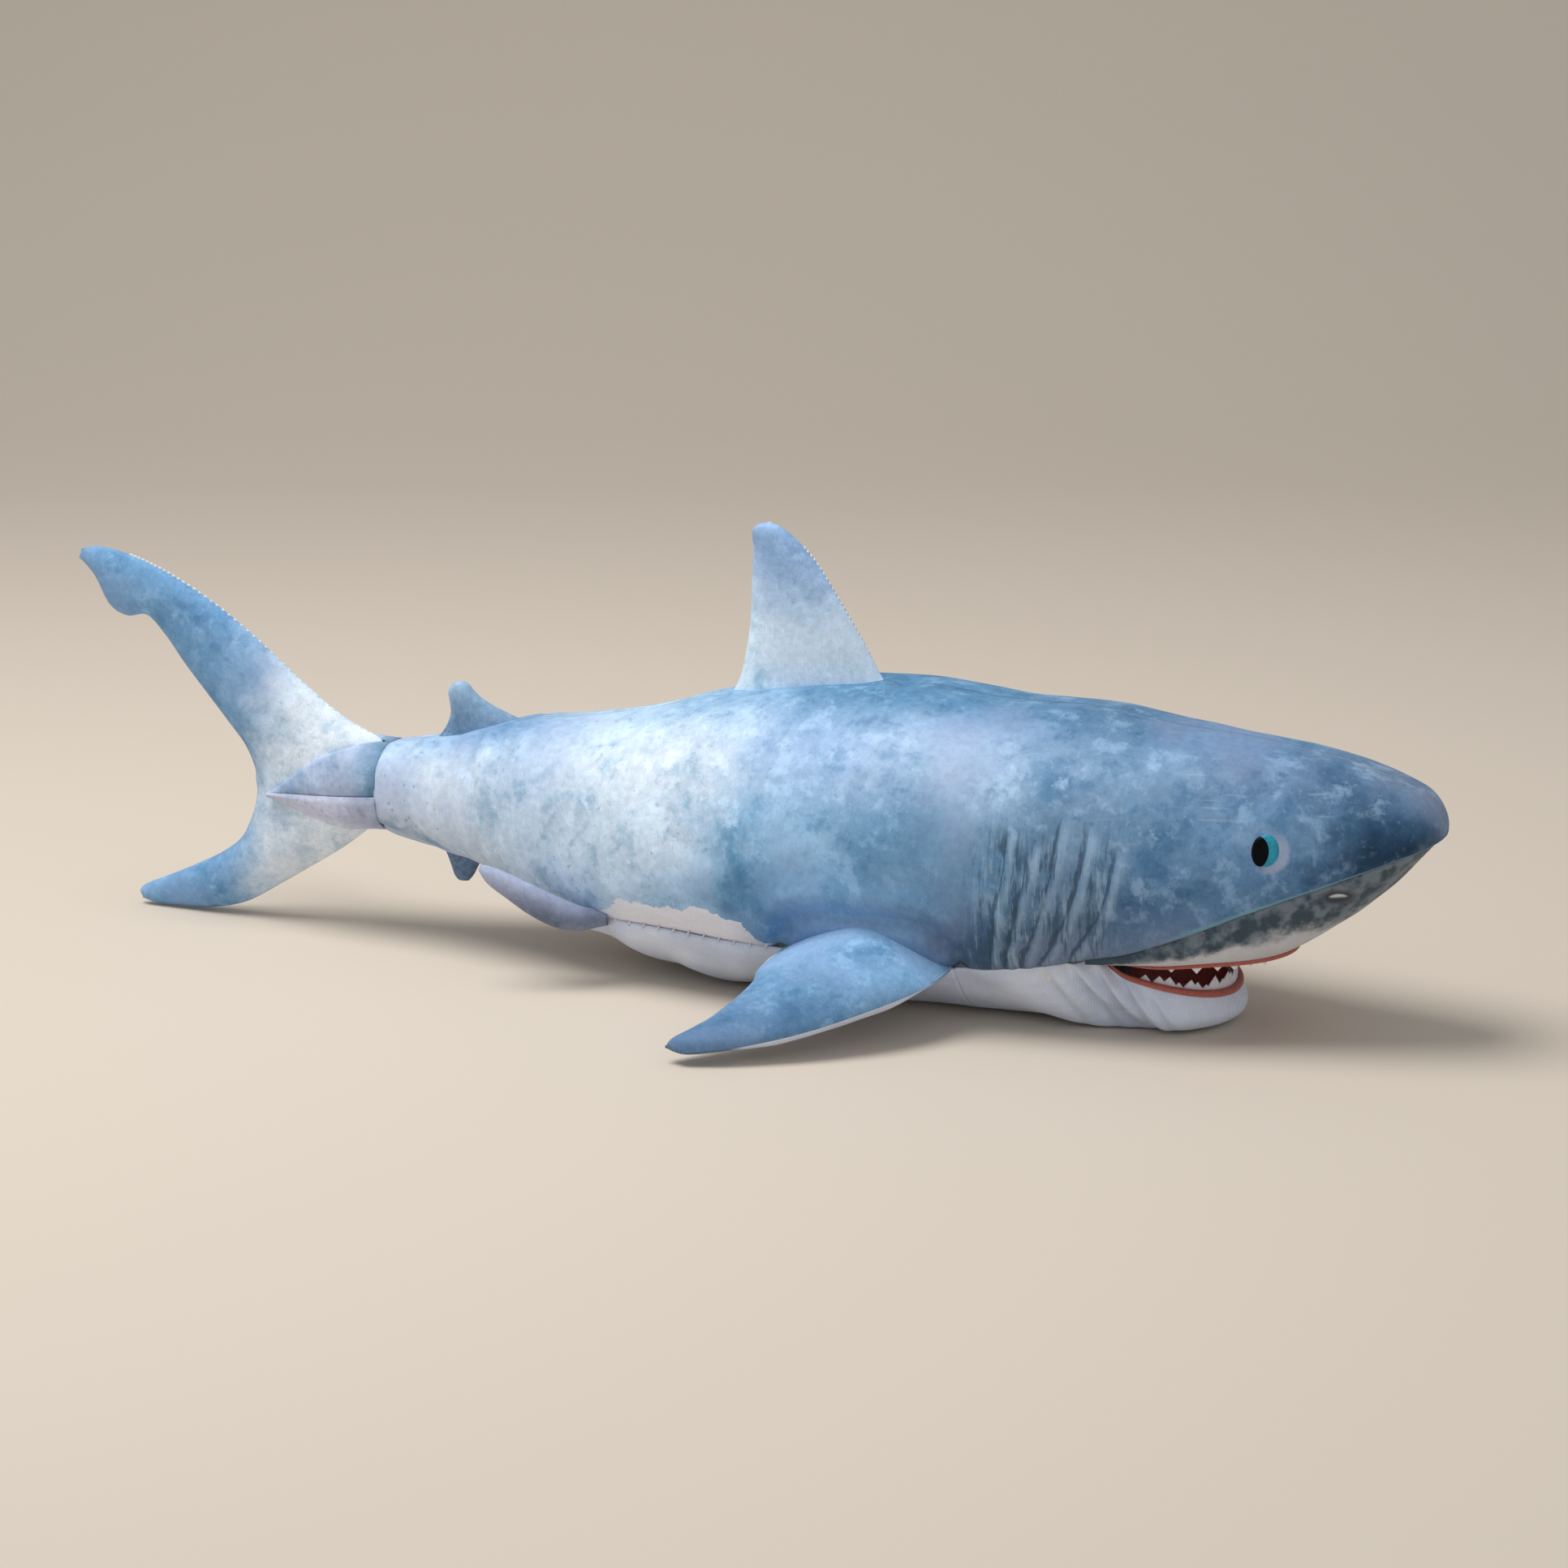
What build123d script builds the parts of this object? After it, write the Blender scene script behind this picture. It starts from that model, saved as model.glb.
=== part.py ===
from build123d import *
from math import copysign, cos, radians, sin, tan
import os

# Plush shark: a stuffed toy sewn from fabric panels over fibre filling.
# +X runs to the nose, +Y to the shark's left and +Z up. The origin is under the middle of the toy,
# on the surface that it lies on. Everything is in millimetres.

# ---- driving dimensions ----
fabric = 1.5                # printed fabric with its backing
thread = 0.8                # how far embroidery and stitches stand off the fabric
clearance = 0.4             # air between pieces that move against each other
groove_reach = 25.0         # how far the hollow for a fin's root is cut outwards
nose_x = 319.0
far = 400.0                 # longer than the toy: the reach of blocks that cut right through it

tail_crease_x = -100.0      # the rear body swings about an upright line here
tail_swing = 20.0           # degrees each way
stock_seam_x = -160.0       # seam round the narrow tail stock
tail_fin_hinge_x = -178.0
tail_fin_swing = 32.0

mouth_hinge = (184.0, 34.0)  # x, z of the mouth's corners
mouth_rise = 3.5            # degrees the upper lip climbs towards the front
jaw_drop = 17.0             # degrees the lower lip falls towards the front
jaw_rim_z = 30.0            # height of the lower lip at the mouth's corner
jaw_open = 15.0
upper_mouth = (45.0, 75.0)  # half width at the corners, length to the front
lower_mouth = (39.0, 54.0)
lip = 3.0                   # thickness of the piping round the lips
palate_height = 14.0        # hollow above the upper lip
last_tooth = 0.93           # how far round to the front the last tooth of each side stands

# Body stations from nose to tail stock: x, top, bottom, half width.
body_stations = [
    (nose_x, 99, 87, 9),
    (311, 106, 74, 19),
    (292, 116, 62, 29),
    (270, 123, 40, 38),
    (240, 126, 14, 47),
    (210, 131, 3, 54),
    (180, 136, -1, 60),
    (140, 137, -1, 65),
    (90, 138, -1, 67),
    (50, 134, -1, 65),
    (7, 126, -1, 60),
    (-33, 113, 7, 53),
    (-65, 108, 16, 46),
    (-100, 104, 30, 37),
    (-131, 97, 38, 29),
    (-160, 89, 46, 21),
    (-190, 80, 54, 15),
]

# Side view of the seam between the blue back panels and the white underside: x, z.
side_seam = [
    (-200, 55), (-130, 45), (-60, 34), (0, 29), (120, 25), (184, 38),
    (231, 60), (284, 79), (330, 88),
]


# ---- the body's shape ----
def body_ring(top, bottom, half_width):
    """Egg-shaped section, widest a little below its middle and flattened underneath."""
    middle = bottom + 0.45 * (top - bottom)
    points = []
    for step in range(12):
        across = cos(radians(30 * step))
        up = sin(radians(30 * step))
        height = top - middle if up > 0 else middle - bottom
        side = half_width * copysign(abs(across) ** 0.85, across)
        rise = height * copysign(abs(up) ** 0.85, up)
        points.append((side, middle + rise))
    Spline(*points, periodic=True)


def body_solid(inset):
    """The whole body, drawn in from the fabric's outside by the inset."""
    with BuildPart() as body:
        for x, top, bottom, half_width in body_stations:
            with BuildSketch(Plane((x, 0, 0), x_dir=(0, 1, 0), z_dir=(1, 0, 0))):
                with BuildLine():
                    body_ring(top - inset, bottom + inset, half_width - inset)
                make_face()
        loft()
        # It rests on a flat patch of belly, and the nose is closed by its fabric.
        with Locations((0, 0, max(inset, 0))):
            Box(2 * far, far, far, align=(Align.CENTER, Align.CENTER, Align.MIN), mode=Mode.INTERSECT)
        if inset > 0:
            with Locations((nose_x - inset, 0, 0)):
                Box(far, far, far, align=(Align.MIN, Align.CENTER, Align.CENTER), mode=Mode.SUBTRACT)
    return body.part


def block_from_side(*outline):
    """A block with the given side view (x, z) that passes right through the toy."""
    with BuildPart() as block:
        with BuildSketch(Plane.XZ):
            Polygon(*outline, align=None)
        extrude(amount=far, both=True)
    return block.part


def block_from_above(*outline):
    """A block with the given plan (x, y) that passes right through the toy."""
    with BuildPart() as block:
        with BuildSketch(Plane.XY):
            Polygon(*outline, align=None)
        extrude(amount=far, both=True)
    return block.part


def behind_hinge(hinge_x, swing):
    """Everything behind an upright hinge, opened to a V so that it can swing both ways."""
    back = far * tan(radians(swing))
    return block_from_above(
        (hinge_x, 0), (hinge_x - back, far), (-3 * far, far), (-3 * far, -far), (hinge_x - back, -far)
    )


# ---- the mouth's outline ----
upper_mouth_plane = Plane(
    origin=(mouth_hinge[0], 0, mouth_hinge[1]),
    x_dir=(cos(radians(mouth_rise)), 0, sin(radians(mouth_rise))),
    z_dir=(-sin(radians(mouth_rise)), 0, cos(radians(mouth_rise))),
)
lower_mouth_plane = Plane(
    origin=(mouth_hinge[0] + 1, 0, jaw_rim_z),
    x_dir=(cos(radians(jaw_drop)), 0, -sin(radians(jaw_drop))),
    z_dir=(sin(radians(jaw_drop)), 0, cos(radians(jaw_drop))),
)


def mouth_point(size, forward, inset=0.0):
    """Half the mouth's width at a distance forward of its corners."""
    half_width, length = size
    share = min(forward / (length - inset), 1)
    return (half_width - inset) * (1 - share ** 2.6) ** 0.5


def mouth_face(size, inset=0.0, start=0.0):
    """The U-shaped plan of the mouth, closed across its corners."""
    length = size[1] - inset
    steps = [start + (length - start) * share for share in (0, 0.4, 0.7, 0.88, 0.97, 1)]
    side = [(forward, mouth_point(size, forward, inset)) for forward in steps]
    other_side = [(forward, -across) for forward, across in reversed(side[:-1])]
    with BuildLine() as outline:
        Spline(*side, *other_side)
        Line(other_side[-1], side[0])
    make_face(outline.edges())


def mouth_slab(plane, size, low, high, inset=0.0, start=0.0):
    """The mouth's plan between two heights over its lip."""
    with BuildPart() as slab:
        with BuildSketch(plane.offset(low)):
            mouth_face(size, inset, start)
        extrude(amount=high - low)
    return slab.part


def teeth_row(plane, size, heights, point_down):
    """A row of felt points sewn along one lip, the same on both sides."""
    length = size[1]
    base = -lip / 2 if point_down else lip / 2
    with BuildPart() as row:
        for number, height in enumerate(heights):
            share = (number + 1) / len(heights) * last_tooth
            forward = (length - 2) * sin(radians(90 * share))
            across = mouth_point(size, forward, 2)
            ahead = min(forward + 0.5, length - 2.01)
            slope = (mouth_point(size, ahead, 2) - across) / max(ahead - forward, 0.01)
            tangent = Vector(1, slope, 0).normalized()
            for side in (1, -1):
                along = plane.x_dir * tangent.X + plane.y_dir * tangent.Y * side
                origin = plane.from_local_coords((forward, side * across, base))
                rise = -plane.z_dir if point_down else plane.z_dir
                half = 0.32 * height + 1.0
                with BuildSketch(Plane(origin, x_dir=along, z_dir=along.cross(rise))):
                    Polygon((-half, 0), (half, 0), (0, height), align=None)
                extrude(amount=0.6, both=True)
    return row.part


# ---- fins ----
def stuffed_fin(hinge, outline, root, tip, reach, inset=0.0):
    """A stuffed pocket with a round root about its hinge line.

    The hinge plane has x along the root, y out along the fin and z through its thickness.
    Root and tip are half thicknesses.
    """
    with BuildPart() as fin:
        with BuildSketch(hinge):
            outline()
            if inset:
                offset(amount=-inset)
        extrude(amount=root, both=True)
        with BuildSketch(Plane(hinge.origin, x_dir=hinge.y_dir, z_dir=hinge.x_dir)):
            Circle(root - inset)
            Polygon((0, root - inset), (reach, tip - inset), (reach, inset - tip), (0, inset - root), align=None)
        extrude(amount=far, both=True, mode=Mode.INTERSECT)
    return fin.part


def hinge_groove(hinge, span, root, swing):
    """The hollow that a fin's root turns in: round inside, and flared outwards by the swing."""
    start, end = span
    wide = root + clearance
    slant = radians(swing)
    tangent = (-wide * sin(slant), wide * cos(slant))
    flare = wide / cos(slant) + groove_reach * tan(slant)
    rear_end = hinge.origin + hinge.x_dir * (start - clearance)
    with BuildPart() as groove:
        with BuildSketch(Plane(rear_end, x_dir=hinge.y_dir, z_dir=hinge.x_dir)):
            Circle(wide)
            Polygon(
                tangent, (groove_reach, flare), (groove_reach, -flare), (tangent[0], -tangent[1]), align=None
            )
        extrude(amount=end - start + 2 * clearance)
    return groove.part


def write(name, shape):
    """Label one finished piece and write it to its own file."""
    shape.label = name
    export_step(shape, f"parts/{name}.step")


def write_fin(hinge, outline, root, tip, reach, names):
    """A fin's filling and the two covers that are sewn round it, as filling, first face and second face."""
    outside = stuffed_fin(hinge, outline, root, tip, reach)
    inside = stuffed_fin(hinge, outline, root, tip, reach, inset=fabric)
    write(names[0], inside)
    for name, side in zip(names[1:], (Keep.TOP, Keep.BOTTOM)):
        with BuildPart() as cover:
            add(outside)
            add(inside, mode=Mode.SUBTRACT)
            split(bisect_by=hinge, keep=side)
        write(name, cover.part)


os.makedirs("parts", exist_ok=True)

outer_body = body_solid(0)
inner_body = body_solid(fabric)
thread_body = body_solid(-thread)

# ---- fin hinges and outlines ----
dorsal_lean = 8.0           # degrees the back climbs under the fin
dorsal_root = 8.0
dorsal_swing = 30.0
dorsal_hinge = Plane(
    origin=(50, 0, 132),
    x_dir=(cos(radians(dorsal_lean)), 0, sin(radians(dorsal_lean))),
    z_dir=(0, -1, 0),
)
dorsal_span = (-38, 36)     # root's rear and front along the hinge line


def dorsal_outline():
    """Tall swept fin: straight rear edge, curved front edge, blunt tip."""
    Polygon(
        (-34, 2), (dorsal_span[0], -9), (dorsal_span[1], -9), (dorsal_span[1], 2), (24, 16), (17, 30), (9, 46),
        (1, 55), (-8, 62), (-15, 67), (-21, 69), (-25, 67), (-27, 60), (-28, 44), (-30, 22),
        align=None,
    )


pectoral_root = 10.0
pectoral_swing = 28.0
pectoral_droop = 14.0       # degrees below level
pectoral_span = (-34, 38)


def pectoral_hinge(side):
    """Side is -1 on the shark's right and 1 on its left."""
    out = (0, side * cos(radians(pectoral_droop)), -sin(radians(pectoral_droop)))
    return Plane(origin=(88, side * 58, 27), x_dir=(1, 0, 0), z_dir=Vector(1, 0, 0).cross(Vector(*out)))


def pectoral_outline():
    """Long swept paddle with a small notch behind its root."""
    Polygon(
        (pectoral_span[0], 12), (pectoral_span[0], -11), (pectoral_span[1], -11), (pectoral_span[1], 4),
        (33, 18), (24, 31), (13, 46), (-1, 60), (-15, 71), (-29, 79), (-40, 84), (-50, 87), (-56, 85),
        (-57, 80), (-55, 72), (-51, 60), (-44, 43), (-40, 31), (-41, 22),
        align=None,
    )


pelvic_root = 4.0
pelvic_swing = 2.0          # towards the flank
pelvic_span = (-6, 6)
pelvic_groove_span = (-6, 10)   # the leaf widens above its root, close beside the flank


def pelvic_hinge(side):
    """An upright root line, with the leaf trailing back along the flank."""
    along_flank = Vector(-0.97, side * 0.243, 0)
    return Plane(origin=(-38, side * 51, 31), x_dir=(0, 0, 1), z_dir=Vector(0, 0, 1).cross(along_flank))


def pelvic_outline():
    """Slender leaf that rises towards its tip."""
    Polygon(
        (6, 3), (pelvic_span[1], -5), (pelvic_span[0], -5), (pelvic_span[0], 3), (-3, 14), (2, 28), (10, 41),
        (17, 50), (21, 51), (22, 47), (18, 35), (13, 20),
        align=None,
    )


# ---- regions that divide the body ----
throat_back = far * tan(radians(jaw_open + 3))
hinge_x, hinge_z = mouth_hinge
lip_room = lip / 2 + clearance / 2
mouth_gap = block_from_side(
    (hinge_x, hinge_z - lip / 2), (hinge_x, hinge_z + lip_room),
    (hinge_x + far, hinge_z + lip_room + far * tan(radians(mouth_rise))),
    (hinge_x + far, -far), (hinge_x - throat_back, hinge_z - far),
)
mouth_hollow = mouth_slab(upper_mouth_plane, upper_mouth, 0, palate_height, inset=lip, start=6)
torso_region = block_from_side(
    (tail_crease_x + clearance, -far), (far, -far), (far, far), (tail_crease_x + clearance, far)
)
before_stock_seam = block_from_side((stock_seam_x, -far), (far, -far), (far, far), (stock_seam_x, far))
stock_region = block_from_side(
    (tail_fin_hinge_x + clearance, -far), (stock_seam_x, -far), (stock_seam_x, far), (tail_fin_hinge_x + clearance, far)
)
above_seam = block_from_side(*side_seam, (330, far), (-200, far))
below_seam = block_from_side(*side_seam, (330, -far), (-200, -far))
head_region = block_from_side((hinge_x, -far), (far, -far), (far, far), (hinge_x, far))
left_region = block_from_above((-far, 0), (far, 0), (far, far), (-far, far))
right_region = block_from_above((-far, 0), (far, 0), (far, -far), (-far, -far))

grooves = [hinge_groove(dorsal_hinge, dorsal_span, dorsal_root, dorsal_swing)]
for side in (-1, 1):
    grooves.append(hinge_groove(pectoral_hinge(side), pectoral_span, pectoral_root, pectoral_swing))
    grooves.append(hinge_groove(pelvic_hinge(side), pelvic_groove_span, pelvic_root, pelvic_swing))

# ---- torso: filling, then its covers ----
with BuildPart() as torso_filling:
    add(inner_body)
    add(torso_region, mode=Mode.INTERSECT)
    add(mouth_gap, mode=Mode.SUBTRACT)
    add(mouth_hollow, mode=Mode.SUBTRACT)
    for groove in grooves:
        add(groove, mode=Mode.SUBTRACT)
write("torso_filling", torso_filling.part)

with BuildPart() as torso_skin:
    add(outer_body)
    add(inner_body, mode=Mode.SUBTRACT)
    add(torso_region, mode=Mode.INTERSECT)
    add(mouth_gap, mode=Mode.SUBTRACT)
    add(mouth_hollow, mode=Mode.SUBTRACT)
    for groove in grooves:
        add(groove, mode=Mode.SUBTRACT)

for name, side_region in (("back_cover_right", right_region), ("back_cover_left", left_region)):
    with BuildPart() as back_cover:
        add(torso_skin.part)
        add(above_seam, mode=Mode.INTERSECT)
        add(side_region, mode=Mode.INTERSECT)
    write(name, back_cover.part)

with BuildPart() as belly_cover:
    add(torso_skin.part)
    add(below_seam, mode=Mode.INTERSECT)
    add(head_region, mode=Mode.SUBTRACT)
write("belly_cover", belly_cover.part)

with BuildPart() as snout_cover:
    add(torso_skin.part)
    add(below_seam, mode=Mode.INTERSECT)
    add(head_region, mode=Mode.INTERSECT)
write("snout_cover", snout_cover.part)

# ---- upper mouth ----
with BuildPart() as upper_mouth_lining:
    add(mouth_hollow)
    add(
        mouth_slab(upper_mouth_plane, upper_mouth, 0, palate_height - fabric, inset=lip + fabric, start=6 + fabric),
        mode=Mode.SUBTRACT,
    )
    with BuildSketch(upper_mouth_plane):
        Rectangle(far, far)
    extrude(amount=lip / 2, mode=Mode.SUBTRACT)
write("upper_mouth_lining", upper_mouth_lining.part)

with BuildPart() as upper_lip:
    add(mouth_slab(upper_mouth_plane, upper_mouth, -lip / 2, lip / 2))
    add(mouth_slab(upper_mouth_plane, upper_mouth, -lip, lip, inset=lip), mode=Mode.SUBTRACT)
write("upper_lip", upper_lip.part)

upper_teeth_heights = (2.6, 3.4, 3.6, 3.0, 3.8, 3.2, 3.8, 4.0)
write("upper_teeth", teeth_row(upper_mouth_plane, upper_mouth, upper_teeth_heights, point_down=True))

# ---- lower jaw ----
with BuildPart() as jaw_outer:
    with BuildSketch(Plane((hinge_x + 1, 0, 0))):
        mouth_face(lower_mouth)
    extrude(amount=2 * jaw_rim_z)
    fillet(jaw_outer.faces().sort_by(Axis.Z)[0].edges().filter_by(GeomType.BSPLINE), radius=9)
    split(bisect_by=lower_mouth_plane.offset(-lip / 2), keep=Keep.BOTTOM)

with BuildPart() as jaw_inner:
    with BuildSketch(Plane((hinge_x + 1, 0, fabric))):
        mouth_face(lower_mouth, inset=fabric)
    extrude(amount=2 * jaw_rim_z)
    fillet(jaw_inner.faces().sort_by(Axis.Z)[0].edges().filter_by(GeomType.BSPLINE), radius=8)
    split(bisect_by=lower_mouth_plane.offset(-lip / 2), keep=Keep.BOTTOM)

with BuildPart() as jaw_filling:
    add(jaw_inner.part)
    split(bisect_by=lower_mouth_plane.offset(-lip / 2 - fabric), keep=Keep.BOTTOM)
write("jaw_filling", jaw_filling.part)

with BuildPart() as jaw_cover:
    add(jaw_outer.part)
    add(jaw_inner.part, mode=Mode.SUBTRACT)
write("jaw_cover", jaw_cover.part)

with BuildPart() as lower_mouth_lining:
    add(jaw_inner.part)
    split(bisect_by=lower_mouth_plane.offset(-lip / 2 - fabric), keep=Keep.TOP)
write("lower_mouth_lining", lower_mouth_lining.part)

with BuildPart() as lower_lip:
    add(mouth_slab(lower_mouth_plane, lower_mouth, -lip / 2, lip / 2))
    add(mouth_slab(lower_mouth_plane, lower_mouth, -lip, lip, inset=lip), mode=Mode.SUBTRACT)
write("lower_lip", lower_lip.part)

lower_teeth_heights = (3.6, 4.0, 4.6, 3.0, 5.0, 4.4, 3.2, 6.4, 4.6, 7.0, 6.6)
write("lower_teeth", teeth_row(lower_mouth_plane, lower_mouth, lower_teeth_heights, point_down=False))

# ---- eyes and stitches, which lie on the fabric ----
eye_x, eye_z = 255.0, 86.0
for side, name in ((-1, "right"), (1, "left")):
    with BuildPart() as eye:
        with BuildSketch(Plane((eye_x, 0, eye_z), x_dir=(1, 0, 0), z_dir=(0, side, 0))):
            Ellipse(5.2, 6.6)
        extrude(amount=far)
        add(thread_body, mode=Mode.INTERSECT)
        add(outer_body, mode=Mode.SUBTRACT)
    # The pupil fills the rear of the eye, and the iris is the crescent that is left.
    with BuildPart() as pupil_block:
        with BuildSketch(Plane((eye_x - 2.4, 0, eye_z - 0.4), x_dir=(1, 0, 0), z_dir=(0, side, 0))):
            Ellipse(3.9, 6.0)
        extrude(amount=far)
    with BuildPart() as pupil:
        add(eye.part)
        add(pupil_block.part, mode=Mode.INTERSECT)
    with BuildPart() as iris:
        add(eye.part)
        add(pupil_block.part, mode=Mode.SUBTRACT)
    write(f"iris_{name}", iris.part)
    write(f"pupil_{name}", pupil.part)

stitch_count = 10
stitch_pitch = 8.0
with BuildPart() as closing_stitches:
    for number in range(stitch_count):
        with BuildSketch(Plane((-30 + number * stitch_pitch, 0, 27.5), x_dir=(1, 0, 0), z_dir=(0, -1, 0))):
            Rectangle(1.2, 6.5, rotation=-18)
        extrude(amount=far)
    add(thread_body, mode=Mode.INTERSECT)
    add(outer_body, mode=Mode.SUBTRACT)
write("closing_stitches", closing_stitches.part)

# ---- rear body ----
rear_region = behind_hinge(tail_crease_x, tail_swing)
with BuildPart() as rear_filling:
    add(inner_body)
    add(rear_region, mode=Mode.INTERSECT)
    add(before_stock_seam, mode=Mode.INTERSECT)
write("rear_filling", rear_filling.part)

with BuildPart() as rear_skin:
    add(outer_body)
    add(inner_body, mode=Mode.SUBTRACT)
    add(rear_region, mode=Mode.INTERSECT)
    add(before_stock_seam, mode=Mode.INTERSECT)

for name, side_region in (("rear_cover_right", right_region), ("rear_cover_left", left_region)):
    with BuildPart() as rear_cover:
        add(rear_skin.part)
        add(above_seam, mode=Mode.INTERSECT)
        add(side_region, mode=Mode.INTERSECT)
    write(name, rear_cover.part)

with BuildPart() as rear_belly_cover:
    add(rear_skin.part)
    add(below_seam, mode=Mode.INTERSECT)
write("rear_belly_cover", rear_belly_cover.part)

with BuildPart() as tail_stock_filling:
    add(inner_body)
    add(stock_region, mode=Mode.INTERSECT)
write("tail_stock_filling", tail_stock_filling.part)

stock_middle = 66.0
above_stock = block_from_side((-far, stock_middle), (far, stock_middle), (far, far), (-far, far))
for name, mode in (("tail_stock_upper_cover", Mode.INTERSECT), ("tail_stock_lower_cover", Mode.SUBTRACT)):
    with BuildPart() as stock_cover:
        add(outer_body)
        add(inner_body, mode=Mode.SUBTRACT)
        add(stock_region, mode=Mode.INTERSECT)
        add(above_stock, mode=mode)
    write(name, stock_cover.part)

# Small stuffed nubs sewn on the rear body.
nub_half_thickness = 3.5
with BuildPart() as second_dorsal_fin:
    with BuildSketch(Plane.XZ):
        with BuildLine():
            Spline((-96, 98), (-112, 112), (-123, 118))
            Spline((-123, 118), (-128, 118), (-129, 112))
            Spline((-129, 112), (-127, 105), (-132, 92))
            Line((-132, 92), (-96, 98))
        make_face()
    extrude(amount=nub_half_thickness, both=True)
    add(outer_body, mode=Mode.SUBTRACT)
write("second_dorsal_fin", second_dorsal_fin.part)

with BuildPart() as anal_fin:
    with BuildSketch(Plane.XZ):
        with BuildLine():
            Spline((-110, 42), (-117, 32), (-122, 27))
            Spline((-122, 27), (-127, 26), (-129, 30))
            Spline((-129, 30), (-131, 36), (-132, 46))
            Line((-132, 46), (-110, 42))
        make_face()
    extrude(amount=nub_half_thickness, both=True)
    add(outer_body, mode=Mode.SUBTRACT)
write("anal_fin", anal_fin.part)

# ---- tail fin ----
tail_fin_profile = [(tail_fin_hinge_x, 17), (-205, 13), (-240, 10), (-300, 6), (-322, 4)]


def tail_fin_solid(inset):
    """Crescent tail: long upper lobe with a notch under its tip, shorter lower lobe."""
    with BuildPart() as fin:
        with BuildSketch(Plane.XZ):
            Polygon(
                (-170, 88), (-182, 96), (-194, 103), (-214, 120), (-235, 139), (-255, 153), (-276, 163), (-297, 168),
                (-313, 169), (-319, 165), (-317, 158), (-306, 149), (-299, 141), (-294, 138), (-288, 138), (-282, 141),
                (-277, 132), (-261, 113), (-247, 98), (-237, 84), (-231, 71), (-230, 63), (-231, 54), (-238, 38),
                (-252, 27), (-269, 18), (-287, 10), (-294, 6), (-293, 1), (-279, 0.5), (-257, 1), (-231, 6),
                (-205, 19), (-188, 31), (-170, 45),
                align=None,
            )
            if inset:
                offset(amount=-inset)
        extrude(amount=far, both=True)
        profile = [(x, half - inset) for x, half in tail_fin_profile]
        with BuildSketch(Plane.XY):
            Polygon(*profile, *[(x, -half) for x, half in reversed(profile)], align=None)
        extrude(amount=far, both=True, mode=Mode.INTERSECT)
        add(behind_hinge(tail_fin_hinge_x, tail_fin_swing), mode=Mode.INTERSECT)
    return fin.part


tail_fin_outside = tail_fin_solid(0)
tail_fin_inside = tail_fin_solid(fabric)
write("tail_fin_filling", tail_fin_inside)
for name, side_region in (("tail_fin_cover_right", right_region), ("tail_fin_cover_left", left_region)):
    with BuildPart() as tail_fin_cover:
        add(tail_fin_outside)
        add(tail_fin_inside, mode=Mode.SUBTRACT)
        add(side_region, mode=Mode.INTERSECT)
    write(name, tail_fin_cover.part)

# ---- dorsal, pectoral and pelvic fins ----
write_fin(
    dorsal_hinge, dorsal_outline, dorsal_root, tip=4, reach=72,
    names=("dorsal_filling", "dorsal_cover_right", "dorsal_cover_left"),
)
for side, name in ((-1, "right"), (1, "left")):
    write_fin(
        pectoral_hinge(side), pectoral_outline, pectoral_root, tip=4, reach=90,
        names=[f"pectoral_filling_{name}"]
        + [f"pectoral_{face}_cover_{name}" for face in (("bottom", "top") if side < 0 else ("top", "bottom"))],
    )
    write_fin(
        pelvic_hinge(side), pelvic_outline, pelvic_root, tip=2.5, reach=54,
        names=[f"pelvic_filling_{name}"]
        + [f"pelvic_{face}_cover_{name}" for face in (("outer", "inner") if side < 0 else ("inner", "outer"))],
    )
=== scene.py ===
import math
import random

import bmesh
import bpy
from bpy.props import FloatProperty, FloatVectorProperty, IntProperty, PointerProperty
from mathutils import Matrix, Vector, noise


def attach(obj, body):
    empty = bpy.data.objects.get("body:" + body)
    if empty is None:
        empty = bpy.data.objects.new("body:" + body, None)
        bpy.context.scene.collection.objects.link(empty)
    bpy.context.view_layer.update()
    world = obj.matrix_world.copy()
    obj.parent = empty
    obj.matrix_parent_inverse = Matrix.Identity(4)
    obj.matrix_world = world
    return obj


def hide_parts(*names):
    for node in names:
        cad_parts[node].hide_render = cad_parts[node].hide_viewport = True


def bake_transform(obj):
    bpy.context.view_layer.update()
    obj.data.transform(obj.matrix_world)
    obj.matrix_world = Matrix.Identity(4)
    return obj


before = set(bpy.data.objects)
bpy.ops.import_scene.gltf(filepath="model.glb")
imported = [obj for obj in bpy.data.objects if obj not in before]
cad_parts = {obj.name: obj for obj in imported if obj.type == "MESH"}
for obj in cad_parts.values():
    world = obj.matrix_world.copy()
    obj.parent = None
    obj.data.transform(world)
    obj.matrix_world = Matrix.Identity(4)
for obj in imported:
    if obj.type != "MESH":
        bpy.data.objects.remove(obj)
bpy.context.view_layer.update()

bl_info = {
    "name": "Plush Shark",
    "version": (1, 0, 0),
    "blender": (4, 5, 0),
    "location": "View3D > Sidebar > Plush",
    "description": "Builds the covers, filling, mouth, eyes and stitches of a plush shark over its frame",
    "category": "Add Mesh",
}

MM = 0.001

# ---- places shared by the pieces, in millimetres ----
NOSE_X = 320.0
CREASE_X = -100.0
STOCK_X = -160.0
V_APEX = (-218.0, 62.0)
MOUTH = (184.0, 34.0)
EYE = (255.0, 86.0)
NOSTRIL = (283.0, 66.5)
THROAT_X = 128.0
GROOVE = 1.3
THIN_FABRIC = 0.9 * MM

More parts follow.
